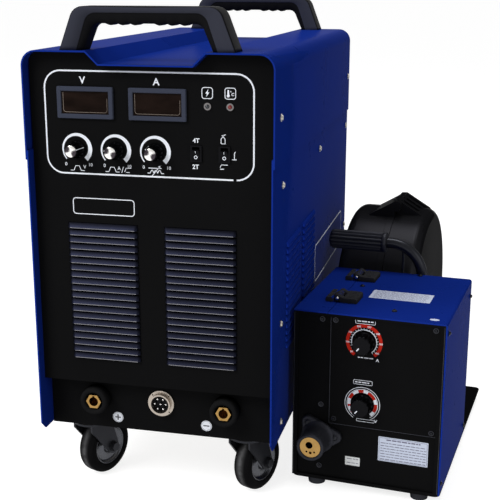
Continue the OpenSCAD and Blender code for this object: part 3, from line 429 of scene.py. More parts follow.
knob_x, knob_z = (-99.5, -46.5, 6.5), cabinet_top - 126
spark_x, heat_x, indicator_z = 75.5, 105, 564
step_x, gas_x, upper_mark_z, lower_mark_z = 60.5, 97.5, 505.5, 472.5
letter_z, symbol_z = 576.5, 463
line_width = 0.9

# The outline starts right of a gap at its foot, and runs round to the gap's left end.
outline_middle, outline_width, outline_tall = (-3, 522), 276, 132
outline_foot = outline_middle[1] - outline_tall / 2
outline = rounded_box(outline_middle, outline_width, outline_tall, 22, 10)
start = np.argmin(np.linalg.norm(outline - [113, outline_foot], axis=1))
outline = np.roll(outline, -start, 0)
lower_edge = np.linspace(outline[-1], [108.5, outline_foot], 12)
prints = [ribbon(np.vstack([outline[:-1], lower_edge]), 2.0, control_face)]

arc_radius, swelling = 20.6, np.linspace(1.4, 6.2, 40)
for x in knob_x:
    sweep = turn_arc((x, knob_z), arc_radius, 222, -48, len(swelling))
    inward = ([x, knob_z] - sweep) / arc_radius * swelling[:, None] / 2
    prints.append(ribbon(sweep + inward, swelling, control_face))
    prints.append(lettering("0", (x - 16, knob_z - 20), 4.3, control_face, 0.03))
    prints.append(lettering("10", (x + 17.5, knob_z - 20), 4.1, control_face, 0.05))

for text, x, z, height, bold in (
        ("V", -89, letter_z, 8.6, 0.25), ("A", 9.5, letter_z, 8.6, 0.25),
        ("V", knob_x[0] + 9.5, symbol_z + 2, 4.2, 0.14),
        ("A", knob_x[1] + 3.5, symbol_z + 2, 4.2, 0.14),
        ("C", heat_x + 3.2, indicator_z - 1, 3.6, 0.1),
        ("4T", step_x, upper_mark_z - 1, 5.4, 0.18),
        ("2T", step_x - 1, lower_mark_z - 1.3, 5.4, 0.18)):
    prints.append(lettering(text, (x, z), height, control_face, bold))


def sketch(centre, strokes, width=line_width):
    """A line symbol: each stroke is a list of offsets from the centre."""
    return [ribbon(np.array(stroke) + centre, width, control_face) for stroke in strokes]


pulse = [(-11, -3), (-6.5, -3), (-4, 3), (1, 3), (3.5, -3), (8, -3)]
prints += sketch((knob_x[0] + 1, symbol_z), [pulse])
prints += sketch((knob_x[1] - 4, symbol_z), [
    pulse, [(11, -4), (13.5, 4)], [(15, -2.5), (17, 2.5), (24, 2.5)], [(17, -3), (22, -3)]])
turns = [(-7.5 + 15 * t, -2.5 + 4 * abs(math.sin(t * 3 * math.pi)))
         for t in np.linspace(0, 1, 31)]
prints += sketch((knob_x[2], symbol_z), [
    [(-11, -2.5)] + turns + [(11, -2.5)], [(-10, 4), (8, 4)], [(-5, -6), (6, 7)],
    [(3.4, 6.2), (6, 7), (5.8, 4.2)]])

prints += [ribbon(rounded_box((x, indicator_z), 13.6, 13.6, 3), line_width, control_face,
                  closed=True) for x in (spark_x, heat_x)]
bolt = np.array([(1.6, 5), (-2.6, -0.6), (-0.2, -0.6), (-1.4, -5), (2.8, 0.9), (0.4, 0.9)])
bulb = np.vstack([turn_arc((-2.6, -2.8), 1.9, 130, 410, 14), [(-1.7, 4.4), (-3.5, 4.4)]])
prints.append(slab(bolt + [spark_x, indicator_z], print_height, control_face))
prints.append(slab(bulb + [heat_x, indicator_z], print_height, control_face))
prints += sketch((heat_x, indicator_z), [turn_arc((0.7, 2.4), 0.7, 0, 330, 9)], 0.5)

bottle = [(-2.6, -4), (-2.6, 2), (-1, 4), (1, 4), (2.6, 2), (2.6, -4), (-2.6, -4)]
prints += sketch((gas_x - 2, upper_mark_z), [
    bottle, [(0, 4), (0, 6.4), (3.4, 7.6)], [(-1.8, 6.2), (1.8, 6.2)]])
prints += sketch((gas_x - 1, lower_mark_z), [
    [(-5, -1), (-3.4, 2.4), (5, 2.4)], [(-5, -3), (0, -3)]])
prints += sketch((gas_x + 12.5, 486), [[(-3, -4), (3, -4)], [(0, -4), (0, 4), (1.4, 6)]])
white_print("panel_print", prints)

# ---- Knobs ----
# Moulded glossy black knobs with finger flutes above a plain skirt. Those of the power
# source have a spun aluminium cap, those of the feeder a plain crown, all a white pointer.


def lathe(profile, face, centre=(0, 0), n=64, flute=0.0, loop=False):
    """A surface turned about a face's out direction: ring i has radius profile[i, 0], less
    flute[i] times the square of the raised cosine of 12 times the angle, and stands
    profile[i, 1] out. Ends of no radius meet in a point, and a loop's ends meet each other."""
    flutes = 12
    radius, out = np.array(profile, float).T[:, :, None]
    angle = np.linspace(0, 2 * np.pi, n, endpoint=False)
    depth = np.broadcast_to(flute, len(profile))[:, None]
    radius = radius - depth * ((1 + np.cos(flutes * angle)) / 2) ** 2
    rings = np.stack([centre[0] + radius * np.cos(angle), centre[1] + radius * np.sin(angle),
                      np.repeat(out, n, 1)], -1)
    return skin(rings, face, cap=False, loop=loop)


def knob_body(name, face, centre, radius, height):
    """The knob's rings from its skirt up over the flutes to a slightly dished crown."""
    waist, crown = radius - 1.1, radius - 2.6
    profile = [(0, 0.4), (radius - 0.5, 0.4), (radius, 0.9), (radius, 3.6),
               (radius - 0.5, 4.4), (waist + 0.1, 5), (waist, 5.6), (crown + 0.4, height - 3),
               (crown, height - 1.9), (crown - 0.7, height - 1.2), (crown - 1.6, height - 1),
               (0, height - 1)]
    flute = [0, 0, 0, 0, 0, 0.6, 1.5, 1.3, 0.9, 0.2, 0, 0]
    knob = make_piece(name + "_grip", [lathe(profile, face, centre, 144, flute)], name,
                      gloss_black, True)
    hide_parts(name)


def flank_stroke(path, width, face):
    """A stroke that climbs a knob's flank: each ring is a thin slab's section at a height and a
    radius of the path, square to the radius."""
    half, sunk = width / 2, 0.5
    return skin([[(h, -half, r + print_height), (h, half, r + print_height),
                  (h, half, r - sunk), (h, -half, r - sunk)] for h, r in path], face)


def two_tone(material, attribute, low, high, noise=None):
    """Mixes the base colour from low to high by a point attribute, broken up by a noise."""
    tree = material.node_tree
    share = shader(tree, "Attribute", {}, attribute_name=attribute)["Fac"]
    if noise:
        patches = shader(tree, "TexNoise", {
            "Vector": shader(tree, "TexCoord", {})["Object"], "Scale": noise})["Fac"]
        share = shader(tree, "Math", {0: share, 1: patches}, operation="MULTIPLY")[0]
    mix = shader(tree, "Mix", {"Factor": share, "A": (*low, 1), "B": (*high, 1)},
                 data_type="RGBA")["Result"]
    feed(tree, tree.nodes["Principled BSDF"], {"Base Color": mix})
    return material


def share_out(piece, attribute, values):
    """Gives a piece's points the values of an attribute."""
    layer = piece.data.attributes.new(attribute, "FLOAT", "POINT")
    layer.data.foreach_set("value", np.clip(values, 0, 1))


def lifted(face, height):
    """The same face, moved out along its third direction."""
    return (face[0] + height * face[3],) + face[1:]


# Painted highlight: the cap's colour runs from near black to near white in two opposite wedges.
spun_cap_painted_highlight = two_tone(finish("spun_cap_painted_highlight", (0.7, 0.7, 0.7), 0.24, metallic=1.0, relief=0.01),
                    "painted_highlight_share", (0.05, 0.042, 0.05), (0.95, 0.93, 0.9))
knob_radius, knob_height = 11.5, 23
cap_profile = [(radius, knob_height - fall) for radius, fall in
               ((0, 1), (7.6, 1), (7.6, 0.35), (7.2, 0.02), (3.3, 0.05), (0, 0.1))]
pointer_path = [(4.6, 11.0), (5.8, 10.4), (19.6, 9.3), (21.4, 8.7), (21.9, 8.0)]
for side, x, degrees in zip(("left", "middle", "right"), knob_x, (15, 165, 135)):
    name, centre = "knob_" + side, (x, knob_z)
    knob_body(name, control_face, centre, knob_radius, knob_height)
    cap = make_piece(name + "_cap", [lathe(cap_profile, control_face, centre)], name,
                     spun_cap_painted_highlight, True)
    foot = at(control_face, (x, knob_z, 0))[0]
    rim = points_of(cap.data) - foot
    # Painted reflection of the spun finish: brightest at 63 degrees round the cap and opposite.
    share_out(cap, "painted_highlight_share", 0.55 + 1.3 * np.cos(2 * (np.arctan2(rim[:, 2], rim[:, 0]) - 1.1)))
    turned = math.radians(degrees)
    outward = math.cos(turned) * cabinet_right + math.sin(turned) * up
    flank = wall(foot, -cabinet_back, np.cross(outward, -cabinet_back))
    white_print(name + "_pointer", [flank_stroke(pointer_path, 0.9, flank)], name)

dial_radius, dial_height = 15.5, 20
dial_z = [pivot(name + "_knob_turn")[2] for name in ("amps", "volts")]
for name, z in zip(("amps_knob", "volts_knob"), dial_z):
    centre = (dial_inset, z)
    knob_body(name, dial_face, centre, dial_radius, dial_height)
    hand = np.array([(-2.8, -3.2), (-6.0, -7.2)]) + centre
    pointer = ribbon(hand, 1.6, lifted(dial_face, dial_height - 1))
    white_print(name + "_pointer", [pointer], name)

# ---- Carry handles ----
# Two moulded arches that stand across the hood on splayed legs. Their front is a flat, paler rim,
# and inside it the grip rounds back to an underside that is scalloped for the fingers.

handle_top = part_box("carry_handles")[1].z / mm
foot_out, foot_in, handle_depth, handle_bar, handle_inset = 115, 84, 36, 21, 24
bar_points = 44


def arch_line(corner, radius, last, level, foot):
    """A line from the middle of the grip to a foot: a straight bar as far as the corner, an arc
    from 90 degrees down to the last angle, and a straight leg."""
    bar = np.column_stack([np.linspace(0, corner, bar_points), np.full(bar_points, level)])
    bend = turn_arc((corner, level - radius), radius, 90, last, 18)[1:]
    leg = np.linspace(bend[-1], (foot, cabinet_top), 9)[1:]
    return np.vstack([bar, bend, leg])


def arch_lines():
    """The top edge, the crease of the front, and the underside, which is scalloped by 2.2 mm
    times the square of a sine, point by point side by side."""
    top = arch_line(foot_out - 33, 18, 21, handle_top, foot_out)
    crease = arch_line(foot_out - 50, 15.5, 19, handle_top - 7.5, foot_out - 23)
    low = arch_line(foot_in - 22, 12, 17, handle_top - handle_bar, foot_in)
    share = np.clip((low[:bar_points, 0] - 8) / (foot_in - 36), 0, 1)
    low[:bar_points, 1] -= 2.2 * np.sin(3 * np.pi * share) ** 2
    return [np.vstack([half[:0:-1] * [-1, 1], half]) for half in (top, crease, low)]


def moulded_arch(face):
    """A ring at each point of the three lines: flat between the top edge and the crease with an
    edge of 2.5 mm radius, then a quarter ellipse that goes 9 mm back by the underside."""
    top, crease, low = arch_lines()
    across = crease - top
    across /= np.linalg.norm(across, axis=1)[:, None]
    front, edge = handle_depth / 2, 2.5
    step_in, step_down, back = 0.03, 0.9, 8.4
    side = [(top + across * edge * (1 - np.cos(t)), front - edge * (1 - np.sin(t)))
            for t in np.linspace(0, np.pi / 2, 6)]
    side += [(crease, front), (crease + (low - crease) * step_in, front - step_down)]
    side += [(crease + (low - crease) * (step_in + (1 - step_in) * np.sin(t)),
              front - step_down - back * (1 - np.cos(t)))
             for t in np.linspace(0.12, np.pi / 2, 9)]
    rings = [at_height(spot, out) for spot, out in side]
    rings += [at_height(spot, -out) for spot, out in side[::-1]]
    return skin(np.stack(rings, 1), face)


handle_plastic = two_tone(finish("handle_plastic", (0.01, 0.01, 0.01), 0.5, grain=1500, relief=0.1,
                                 mottling=0.12, specular=0.02),
                          "rim", (0.006, 0.006, 0.0068), (0.034, 0.036, 0.05))
arches = [moulded_arch(wall(cabinet + middle * cabinet_back, cabinet_right, up))
          for middle in (handle_inset, cabinet_depth - handle_inset)]
carry_arches = make_piece("carry_arches", arches, "power_source",
                          handle_plastic, True)
back = points_of(carry_arches.data)[:, 1] - cabinet[1]
away = np.minimum(np.abs(back - handle_inset), np.abs(back - cabinet_depth + handle_inset))
share_out(carry_arches, "rim", (away > handle_depth / 2 - 0.3).astype(float))
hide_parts("carry_handles")

# ---- Louvres ----
# Pressed hoods over the slots of the front and side panels: a quarter wave in section, with
# the sheet drawn down to the panel over the last few millimetres at each end.

bank_width, louvre_pitch, louvre_tall, run_out = 97, 9.5, 7.6, 5


def louvre_banks(centres, top, rows, face, out, ramp):
    """Rows of louvres at each centre. Height over the panel: out times cos(w pi/2) up the
    louvre, or times 1 - w for a ramp, w from 0 at the lip to 1 at the top, times a quarter
    ellipse over the run-out at each end. The lip is turned in below."""
    ramp_in = np.linspace(0, 1, 7)[:-1] ** 1.5 * run_out
    x = np.concatenate([ramp_in, np.linspace(run_out, bank_width - run_out, 9),
                        bank_width - ramp_in[::-1]]) - bank_width / 2
    edge = np.clip((bank_width / 2 - np.abs(x)) / run_out, 0, 1)
    end = np.sqrt(1 - (1 - edge) ** 2)
    w = np.concatenate([[0, 0], np.linspace(0, 1, 9)])
    rise = 1 - w[2:] if ramp else np.cos(w[2:] * np.pi / 2)
    lift = np.concatenate([[0, 0.75], rise])
    m, n = len(w), len(x)
    rim = np.arange(m * n).reshape(m, n)
    rim = np.concatenate([rim[0, :-1], rim[:-1, -1], rim[-1, :0:-1], rim[:0:-1, 0]])
    faces = grid(m, n, False, False) + [rim[::-1].tolist()]
    parts = []
    for centre in centres:
        for row in range(rows):
            z = top - louvre_tall - row * louvre_pitch + louvre_tall * w
            points = np.stack([np.broadcast_to(x + centre, (m, n)),
                               np.broadcast_to(z[:, None], (m, n)),
                               out * lift[:, None] * end], -1)
            parts.append((on(face, points.reshape(-1, 3)), faces))
    return parts


bank_x, bank_top, front_rows, front_out = (-68, 64.5), cabinet_top - 223, 20, 4.2
# Painted shade and reflection: near black where a louvre meets the panel, pale bluish grey at its
# lip.
louvre_coat_painted_light = two_tone(finish("louvre_coat_painted_light", (0.02, 0.02, 0.03), 0.38, metallic=0.5,
                               relief=0.08, edge=0.5),
                        "lift", (0.002, 0.002, 0.0025), (0.017, 0.019, 0.036))
front_banks = louvre_banks(bank_x, bank_top, front_rows, control_face, front_out, True)
louvres = make_piece("front_louvres", front_banks, "power_source", louvre_coat_painted_light,
                     True)
# The "lift" share paints this shade and reflection: 0 at the panel, 1 at the louvre's lip.
proud = (points_of(louvres.data) - control_face[0]) @ control_face[3] / front_out
share_out(louvres, "lift", np.clip(proud, 0, 1) ** 1.4)

# Painted highlight: a pale strip along each louvre's lip, where its edge would catch the light.
lip_painted_highlight = finish("lip_painted_highlight", (0.24, 0.24, 0.26), 0.4, metallic=0.6, mottling=0.5, patch=60)
lip_face, lip_half = lifted(control_face, front_out - 0.25), bank_width / 2 - 4
lip_z = bank_top - louvre_tall + 0.25 - np.arange(front_rows) * louvre_pitch
lips = [ribbon([(x - lip_half, z), (x + lip_half, z)], 0.7, lip_face, 0.3)
        for x in bank_x for z in lip_z]
make_piece("louvre_lips", lips, "power_source", lip_painted_highlight)

panel_step, side_y, side_top, side_rows, side_out = 2, (137, 254), cabinet_top - 252, 16, 3.2
side_walls = (("right", lifted(right_face, -panel_step), 1),
              ("left", lifted(left_face, -panel_step), -1))
for side, face, mirror in side_walls:
    side_banks = louvre_banks([mirror * y for y in side_y], side_top, side_rows, face, side_out,
                              False)
    make_piece(side + "_louvres", side_banks, "power_source", blue_paint, True)

# ---- Meters and lamps ----
# Grey snap-in bezels with chamfered edges around tinted windows, and two domed lamps in
# bright rims, the right one red.


def picture_frame(centre, width, height, radius, border, tall, bevel, face):
    """A frame's closed section carried round a rounded rectangle: outer wall, bevel, flat
    front, inner bevel, inner wall."""
    section = ((0, 0), (0, tall - bevel), (bevel, tall), (border - bevel, tall),
               (border, tall - bevel), (border, 0))
    return skin([at_height(rounded_box(centre, width - 2 * shrink, height - 2 * shrink,
                                       max(radius - shrink, 0.4), 5), out)
                 for shrink, out in section], face, loop=True)


meter_x, meter_z = (-85.5, 11), cabinet_top - 66
bezel_grey = nodes["meter_bezels"].data.materials[0]
bezels = [picture_frame((x, meter_z), 75.6, 40.6, 2, 5.9, 3.9, 0.7, control_face)
          for x in meter_x]
make_piece("bezel_fronts", bezels, "power_source", bezel_grey)
window_face = wall((cabinet[0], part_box("meter_lenses")[0].y / mm, 0), cabinet_right, up)
bend = turn_arc((-26, -8.6), 3.6, 180, 270, 8)
trace = np.vstack([[(-29.6, 12.5)], bend, bend[::-1] * [-1, 1], [(29.6, 6)]])
edges = [ribbon(trace + [x, meter_z], 0.45, window_face, 0.1) for x in meter_x]
window_line = finish("window_line", (0.24, 0.2, 0.17), 0.3, grain=400, mottling=0.6)
make_piece("window_edges", edges, "power_source", window_line)

lamp_z, lens_radius, lens_foot, lens_tall = cabinet_top - 66.5, 2.75, 1.6, 2.6
bulge = turn_arc((0, 0), 1, 0, 90, 8) * [lens_radius, lens_tall] + [0, lens_foot]
dome = [(0, lens_foot), *bulge]
for name, x, colour in (("power_lamp", 76, (0.02, 0.023, 0.028)),
                        ("heat_lamp", heat_x, (0.17, 0.008, 0.006))):
    lens = finish(name, colour, 0.12, relief=0.01, specular=0.5)
    make_piece(name, [lathe(dome, control_face, (x, lamp_z), 24)], "power_source",
               lens, True)

# ---- Rocker marks ----
# A stroke and a ring printed on the two faces of each rocker.

rocker_pin, rocker_reach, ridge = 4.5, 7, math.radians(12)
for name, x in (("rocker_step", step_x), ("rocker_gas", gas_x)):
    pin = cabinet + x * cabinet_right + (front_inset + rocker_pin) * cabinet_back + knob_z * up
    crest = pin - rocker_reach * (math.cos(ridge) * cabinet_back + math.sin(ridge) * up)
    mark_faces = []
    for lean, height in ((25.8, 4.2), (-1.8, -2.9)):
        tilt = math.radians(lean)
        climb = math.cos(tilt) * up - math.sin(tilt) * cabinet_back
        mark_faces.append(wall(crest + height * climb, cabinet_right, climb))
    marks = [ribbon([(0, -1.7), (0, 1.7)], 0.6, mark_faces[0]),
             ribbon(circle((0, 0), 1.9, 24), 0.8, mark_faces[1], closed=True)]
    white_print(name + "_marks", marks, name)

# ---- Welding sockets ----
# Turned brass inserts in moulded collars, with a printed disc for each pole, and a seven pin
# control socket with a nickel flange between them.

socket_x, socket_z, pin_circle = 92.5, 136, 8
disc_x, disc_z, disc_radius, disc_line = 64, 108.5, 7.6, 6.6
socket_plastic = finish("socket_plastic", (0.010, 0.010, 0.0105), 0.36, grain=1200, relief=0.05)
black_print = finish("black_print", (0.01, 0.01, 0.012), 0.5)
nickel = finish("nickel_flange", (0.42, 0.37, 0.32), 0.35, metallic=1.0, grain=800, relief=0.03)
dress(nickel, "control_socket")

collar = [(19.6, 0), (19.6, 16.5), (19.0, 18.6), (17.6, 19.8), (15.6, 20), (13.6, 19.6),
          (12.7, 18.4), (12.5, 6.2), (10.8, 6.2), (10.8, 0)]
collars = [lathe(collar, connector_face, (x, socket_z), 72, loop=True)
           for x in (-socket_x, socket_x)]
socket_bodies = make_piece("socket_bodies", collars, "power_source",
                           socket_plastic, True)
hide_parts("socket_collars")

over_disc = lifted(connector_face, print_height)
discs, signs = [], []
for x, strokes in ((-disc_x, (([(-4, 0), (4, 0)], 1), ([(0, -4), (0, 4)], 1.3))),
                   (disc_x, (([(-4.2, 0), (4.2, 0)], 1),))):
    discs.append(slab(circle((x, disc_z), disc_radius, 60), print_height, connector_face))
    signs += [ribbon(np.array(stroke) + [x, disc_z], 1.5, over_disc, print_height * tall)
              for stroke, tall in strokes]
    signs.append(ribbon(circle((x, disc_z), disc_line, 60), 0.3, over_disc, closed=True))
white_print("polarity_discs", discs)
make_piece("polarity_signs", signs, "power_source", black_print)

pin_shape = [(0, -1), (1.35, -1), (1.35, 5.0), (1.1, 5.5), (0.5, 5.75), (0, 5.8)]
pins = [lathe(pin_shape, connector_face, spot, 16)
        for spot in [(0, socket_z), *circle((0, socket_z), pin_circle, 6)]]
make_piece("control_pins", pins, "power_source", chrome, True)

# ---- Wheels ----
# Pressed steel hubs with a bearing boss, under solid rubber tyres whose tread is scuffed grey
# along its middle.

half_width = 13
tyre_rubber = two_tone(finish("tyre_rubber", (0.006, 0.006, 0.0065), 0.6, relief=0.12,
                              mottling=0.25, specular=0.01),
                       "tread", (0.006, 0.006, 0.0065), (0.17, 0.17, 0.175), 90.0)
hub_steel = finish("hub_steel", (0.085, 0.088, 0.098), 0.26, metallic=0.85, grain=300,
                   relief=0.05, mottling=0.25, patch=60)


def mirrored(side):
    """A wheel's closed section from one side's points, each a radius and a depth within the
    wheel's half width."""
    side = [(radius, half_width - depth) for radius, depth in side]
    return side + [(radius, -out) for radius, out in side[::-1]]


tyre_profile = mirrored([(26.4, 2), (28.2, 1.6), (28.8, 0.6), (30.4, 0), (33.6, 0), (36.8, 0.5),
                         (38.7, 1.6), (39.3, 2.5), (39.7, 2.8), (40.7, 3.6), (41.6, 5.4),
                         (41.95, 8), (42, half_width)])
hub_profile = mirrored([(4.3, -1.9), (9.5, -1.9), (10.6, -1.2), (11, 3.5), (13, 5.5),
                        (22.6, 5.8), (24.9, 5), (26.3, 2.2), (27.4, 1.2), (28.3, 1.5),
                        (28.3, 3)])
tread_foot, tread_half = 41, 5
for name in ("front_left_wheel", "front_right_wheel", "rear_left_wheel", "rear_right_wheel"):
    centre, axle = pivot(name + "_spin"), np.array(joint[name + "_spin"]["axis"], float)
    face, short = wall(centre, np.cross(up, axle), up), name.removesuffix("_wheel")
    tyre = make_piece(short + "_tyre", [lathe(tyre_profile, face, n=96, loop=True)], name,
                      tyre_rubber, True)
    away = points_of(tyre.data) - centre
    worn = 1.2 - np.abs(away @ axle) / tread_half
    share_out(tyre, "tread", (np.linalg.norm(away, axis=1) > tread_foot) * worn)
    make_piece(short + "_hub", [lathe(hub_profile, face, n=72, loop=True)], name,
               hub_steel, True)
    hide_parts(name)

# ---- Feeder dials ----
# Screen printed scales around the two dials: a red band with white figures for the current, and
# a white band with red sections for the voltage, each with a title box above it.

red_print = finish("red_print", (0.5, 0.022, 0.012), 0.42)
amps, volts = [(dial_inset, z) for z in dial_z]
over_band = lifted(dial_face, print_height)
scale_start, scale_end, band_radius, volt_radius = 236, -52, 23, 18.7

red = [ribbon(turn_arc(amps, band_radius, scale_start, scale_end, 60), 4.6, dial_face)]
red += [ribbon(turn_arc(volts, volt_radius, start, start - sweep, 10), 4, over_band)
        for start, sweep in ((226, 8), (196, 9), (160, 26), (108, 22), (66, 40), (5, 36))]
white = [ribbon([inner, outer], 0.55, dial_face)
         for inner, outer in zip(turn_arc(amps, 18, scale_start, scale_end, 25),
                                 turn_arc(amps, 19.9, scale_start, scale_end, 25))]
white.append(ribbon(turn_arc(amps, 17.4, scale_start, scale_end, 50), 1.1, dial_face))
white += [lettering(str(50 * n), spot, 2.5, over_band, 0.06)
          for n, spot in enumerate(turn_arc(amps, band_radius, 222, -38, 8), 1)]
white += [ribbon(turn_arc(volts, radius, 240, -60, 70), 0.75, dial_face)
          for radius in (24.4, 21.6)]
white.append(ribbon(turn_arc(volts, volt_radius, 232, scale_end, 60), 4.2, dial_face))
white += [ribbon(rounded_box((dial_inset + x, z), width, height, 0.6, 2), 0.6, dial_face,
                 closed=True)
          for x, z, width, height in ((1, amps[1] + 29.2, 27, 7), (0, volts[1] + 31.5, 26, 6),
                                      (5, volts[1] - 24, 25, 3.6))]


def word_bars(left, right, z, height, face, seed):
    """A row of short bars in place of small print: lengths and gaps from a fixed seed."""
    random = np.random.default_rng(seed)
    bars, x = [], left
    while x < right - 2:
        length = min(random.uniform(2.2, 7.5), right - x)
        bars.append(slab(rounded_box((x + length / 2, z), length, height, 0.2, 2),
                         print_height, face))
        x += length + 1.1
    return bars


for left, right, z, height, seed in ((-10, 12, amps[1] + 29.2, 1.6, 1),
                                     (-11, 11, volts[1] + 31.5, 1.4, 2),
                                     (-8, 14, amps[1] - 22.5, 1.3, 3)):
    white += word_bars(dial_inset + left, dial_inset + right, z, height, dial_face, seed)
white.append(lettering("A", (dial_inset + 19, amps[1] - 24), 4.2, dial_face, 0.15))
white.append(lettering("V", (dial_inset + 19.5, volts[1] - 23), 4.2, dial_face, 0.15))
make_piece("dial_red", red, "feeder", red_print)
white_print("dial_white", white, "feeder")

# ---- Labels ----
# Plain metallised stickers with rows of grey bars where small print would be: one on the
# feeder's top, two on its front, and an oval inspection sticker.

sticker = finish("sticker", (0.55, 0.6, 0.72), 0.35, metallic=0.25, grain=600)
paper = finish("paper_label", (0.78, 0.8, 0.8), 0.5, grain=600, relief=0.03)
grey_print = finish("grey_print", (0.16, 0.15, 0.22), 0.5)
label_depth, data_middle = 0.1, (157.3, 73)


def label(centre, width, height, face):
    """A sticker with slightly rounded corners."""
    return slab(rounded_box(centre, width, height, 0.6, 2), label_depth, face)


oval = circle((0, 0), 1, 45) * [6.5, 4] + [190, 16]
stickers = [label((127.5, 106), 87, 40, feeder_lid_face),
            slab(oval, label_depth, feeder_lid_face), label(data_middle, 69, 36, feeder_face)]
make_piece("rating_stickers", stickers, "feeder", sticker)
make_piece("paper_sticker", [label((87, 47.5), 21, 13, feeder_face)], "feeder",
           paper)
above_lid, above_front = lifted(feeder_lid_face, label_depth), lifted(feeder_face, label_depth)
small_print = [ribbon(rounded_box(data_middle, 66, 33, 0.6, 2), 0.4, above_front, closed=True)]
for row in range(7):
    small_print += word_bars(89, 166, 91 + 5 * row, 1, above_lid, 20 + row)
    small_print += word_bars(126, 189, 58 + 4 * row, 0.9, above_front, 40 + row)
for left, right, z, height, seed in ((134, 181, 87, 1.7, 50), (79, 95, 51, 0.8, 51),
                                     (79, 95, 45, 0.8, 52)):
    small_print += word_bars(left, right, z, height, above_front, seed)
make_piece("small_print", small_print, "feeder", grey_print)

# ---- Torch connector ----
# A moulded flange with three rounded lobes that take a screw each, a flared neck and a barrel
# with a rolled lip, around the turned brass nose.


def even(outline, spacing):
    """The same closed outline with points at an even spacing along it."""
    ring = np.vstack([outline, outline[:1]])
    along = np.concatenate([[0], np.cumsum(np.linalg.norm(np.diff(ring, axis=0), axis=1))])
    stops = np.linspace(0, along[-1], int(along[-1] / spacing), endpoint=False)
    return np.column_stack([np.interp(stops, along, ring[:, k]) for k in (0, 1)])


def moulded(outline, low, high, radius, face, steps=6, both=True):
    """A closed anticlockwise outline raised from low to high, its edges rounded: at the angle t
    the ring is inset by radius times 1 - sin t and stands radius times 1 - cos t from its end.
    Where `both` is off, the low edge stays sharp."""
    angle = np.linspace(0, np.pi / 2, steps)
    fall, rise = radius * (1 - np.sin(angle)), radius * (1 - np.cos(angle))
    levels = list(zip(fall, low + rise)) if both else [(0, low)]
    levels += list(zip(fall[::-1], high - rise[::-1]))
    inward = normals(outline)
    return skin([at_height(outline + f * inward, height) for f, height in levels], face)


torch, screw_reach, lobe_radius, lobe_angles = (37.5, 80), 25, 9, (5, 125, 245)
screw_spots = turn_arc(torch, screw_reach, lobe_angles[0], lobe_angles[-1], len(lobe_angles))
lobes = [turn_arc(spot, lobe_radius, a - 60, a + 60, 14)
         for spot, a in zip(screw_spots, lobe_angles)]
flange = moulded(even(np.vstack(lobes), 1.5), 0, 7.4, 2.2, feeder_face, both=False)
barrel = [(24, 7.2), (22.5, 8.2), (20.4, 10.2), (18.6, 14), (17.6, 20), (17.3, 31), (17.6, 32.6),
          (18.8, 33.8), (19.4, 35.2), (19.4, 43.6), (18.9, 45.2), (17.8, 46), (16.4, 46),
          (15.2, 45.4), (14.7, 44.4), (14.7, 5), (24, 5)]
seat = [(0, 6), (4.6, 6), (4.6, 7.9), (4.2, 8.2), (3.9, 7.9), (3.9, 6.6), (0, 6.6)]
head = [(0, 6.5), (3.4, 6.5), (3.4, 7.6), (2.6, 8.3), (1.2, 8.6), (0, 8.6)]
connector_plastic = finish("connector_plastic", (0.032, 0.033, 0.04), 0.4, metallic=0.4,
                           grain=1200, relief=0.06, edge=0.4)
seats = [lathe(seat, feeder_face, spot, 24) for spot in screw_spots]
connector = [flange, lathe(barrel, feeder_face, torch, 72, loop=True), *seats]
connector_body = make_piece("connector_body", connector, "feeder",
                            connector_plastic, True)
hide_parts("torch_flange")
heads = [lathe(head, feeder_face, spot, 18) for spot in screw_spots]
make_piece("connector_screws", heads, "feeder", dark_steel, True)

# ---- Seams of the control plate ----
# Painted highlight: pale lines on the removable plate's cut edges and the tray's folded front edge.

seam_painted_highlight = finish("seam_painted_highlight", (0.055, 0.057, 0.068), 0.4, metallic=0.5, mottling=0.6, patch=40)
seam_face, tray_face = lifted(dial_face, 0.05), lifted(dial_face, plate_inset)
corner_x, corner_z, seam_top, rim_foot, rim_top = 52.4, 101.4, 256.5, 18, 259
edges = [ribbon([(corner_x, corner_z), end], 0.5, seam_face)
         for end in ((corner_x, seam_top), (200.6, corner_z))]
edges += [ribbon([(x, rim_foot), (x, rim_top)], 0.6, tray_face, 0.1) for x in (1.2, 206.5)]
make_piece("plate_edges", edges, "feeder", seam_painted_highlight)

# ---- Feeder handle ----
# A thick ribbed rubber grip, pushed onto the bent steel tube in black stove enamel.

grip_start, grip_end, grip_middle, grip_rise = -14, 77, 236, 44
grip_face = wall(feeder + grip_middle * feeder_back + (feeder_top + grip_rise) * up,
                 feeder_back, up)


def ribbed(start, end, radius, ribs, rib, face):
    """A grip turned about the face's out direction: radius at the angle a is lowered between the
    ribs by rib times (1 - |cos(ribs a / 2)|), and the ends are quarter circles."""
    stations = np.concatenate([start + 7 * (1 - np.cos(np.linspace(0, np.pi / 2, 7))),
                               np.linspace(start + 9, end - 9, 5),
                               [end - 7.6, end - 6.8, end - 6, end - 0.8, end]])
    share = np.concatenate([np.sin(np.linspace(0.02, np.pi / 2, 7)), np.ones(5),
                            [1, 0.95, 1.03, 1.03, 0.97]])
    depth = np.concatenate([[0, 0.2, 0.5, 0.8], np.ones(9), [0.2, 0, 0, 0]])
    angle = np.linspace(0, 2 * np.pi, 112, endpoint=False)
    dip = rib * (1 - np.abs(np.cos(ribs * angle / 2)))
    r = radius * share[:, None] - depth[:, None] * dip
    return skin(np.stack([r * np.cos(angle), r * np.sin(angle),
                          np.broadcast_to(stations[:, None], r.shape)], -1), face)


grip = make_piece("ribbed_grip", [ribbed(grip_start, grip_end, 15, 14, 3, grip_face)], "feeder",
                  rubber, True)
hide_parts("handle_grip")

# ---- Flap hinges ----
# Moulded hinges for sheet metal doors: two bevelled leaves that interlock on ribbed knuckles
# around a plated pin, whose bright end shows, and countersunk screws in each leaf.

hinge_line, leaf_long, knuckle, knuckle_z, rib_pitch = 48, 40, 4.5, 6, 0.75


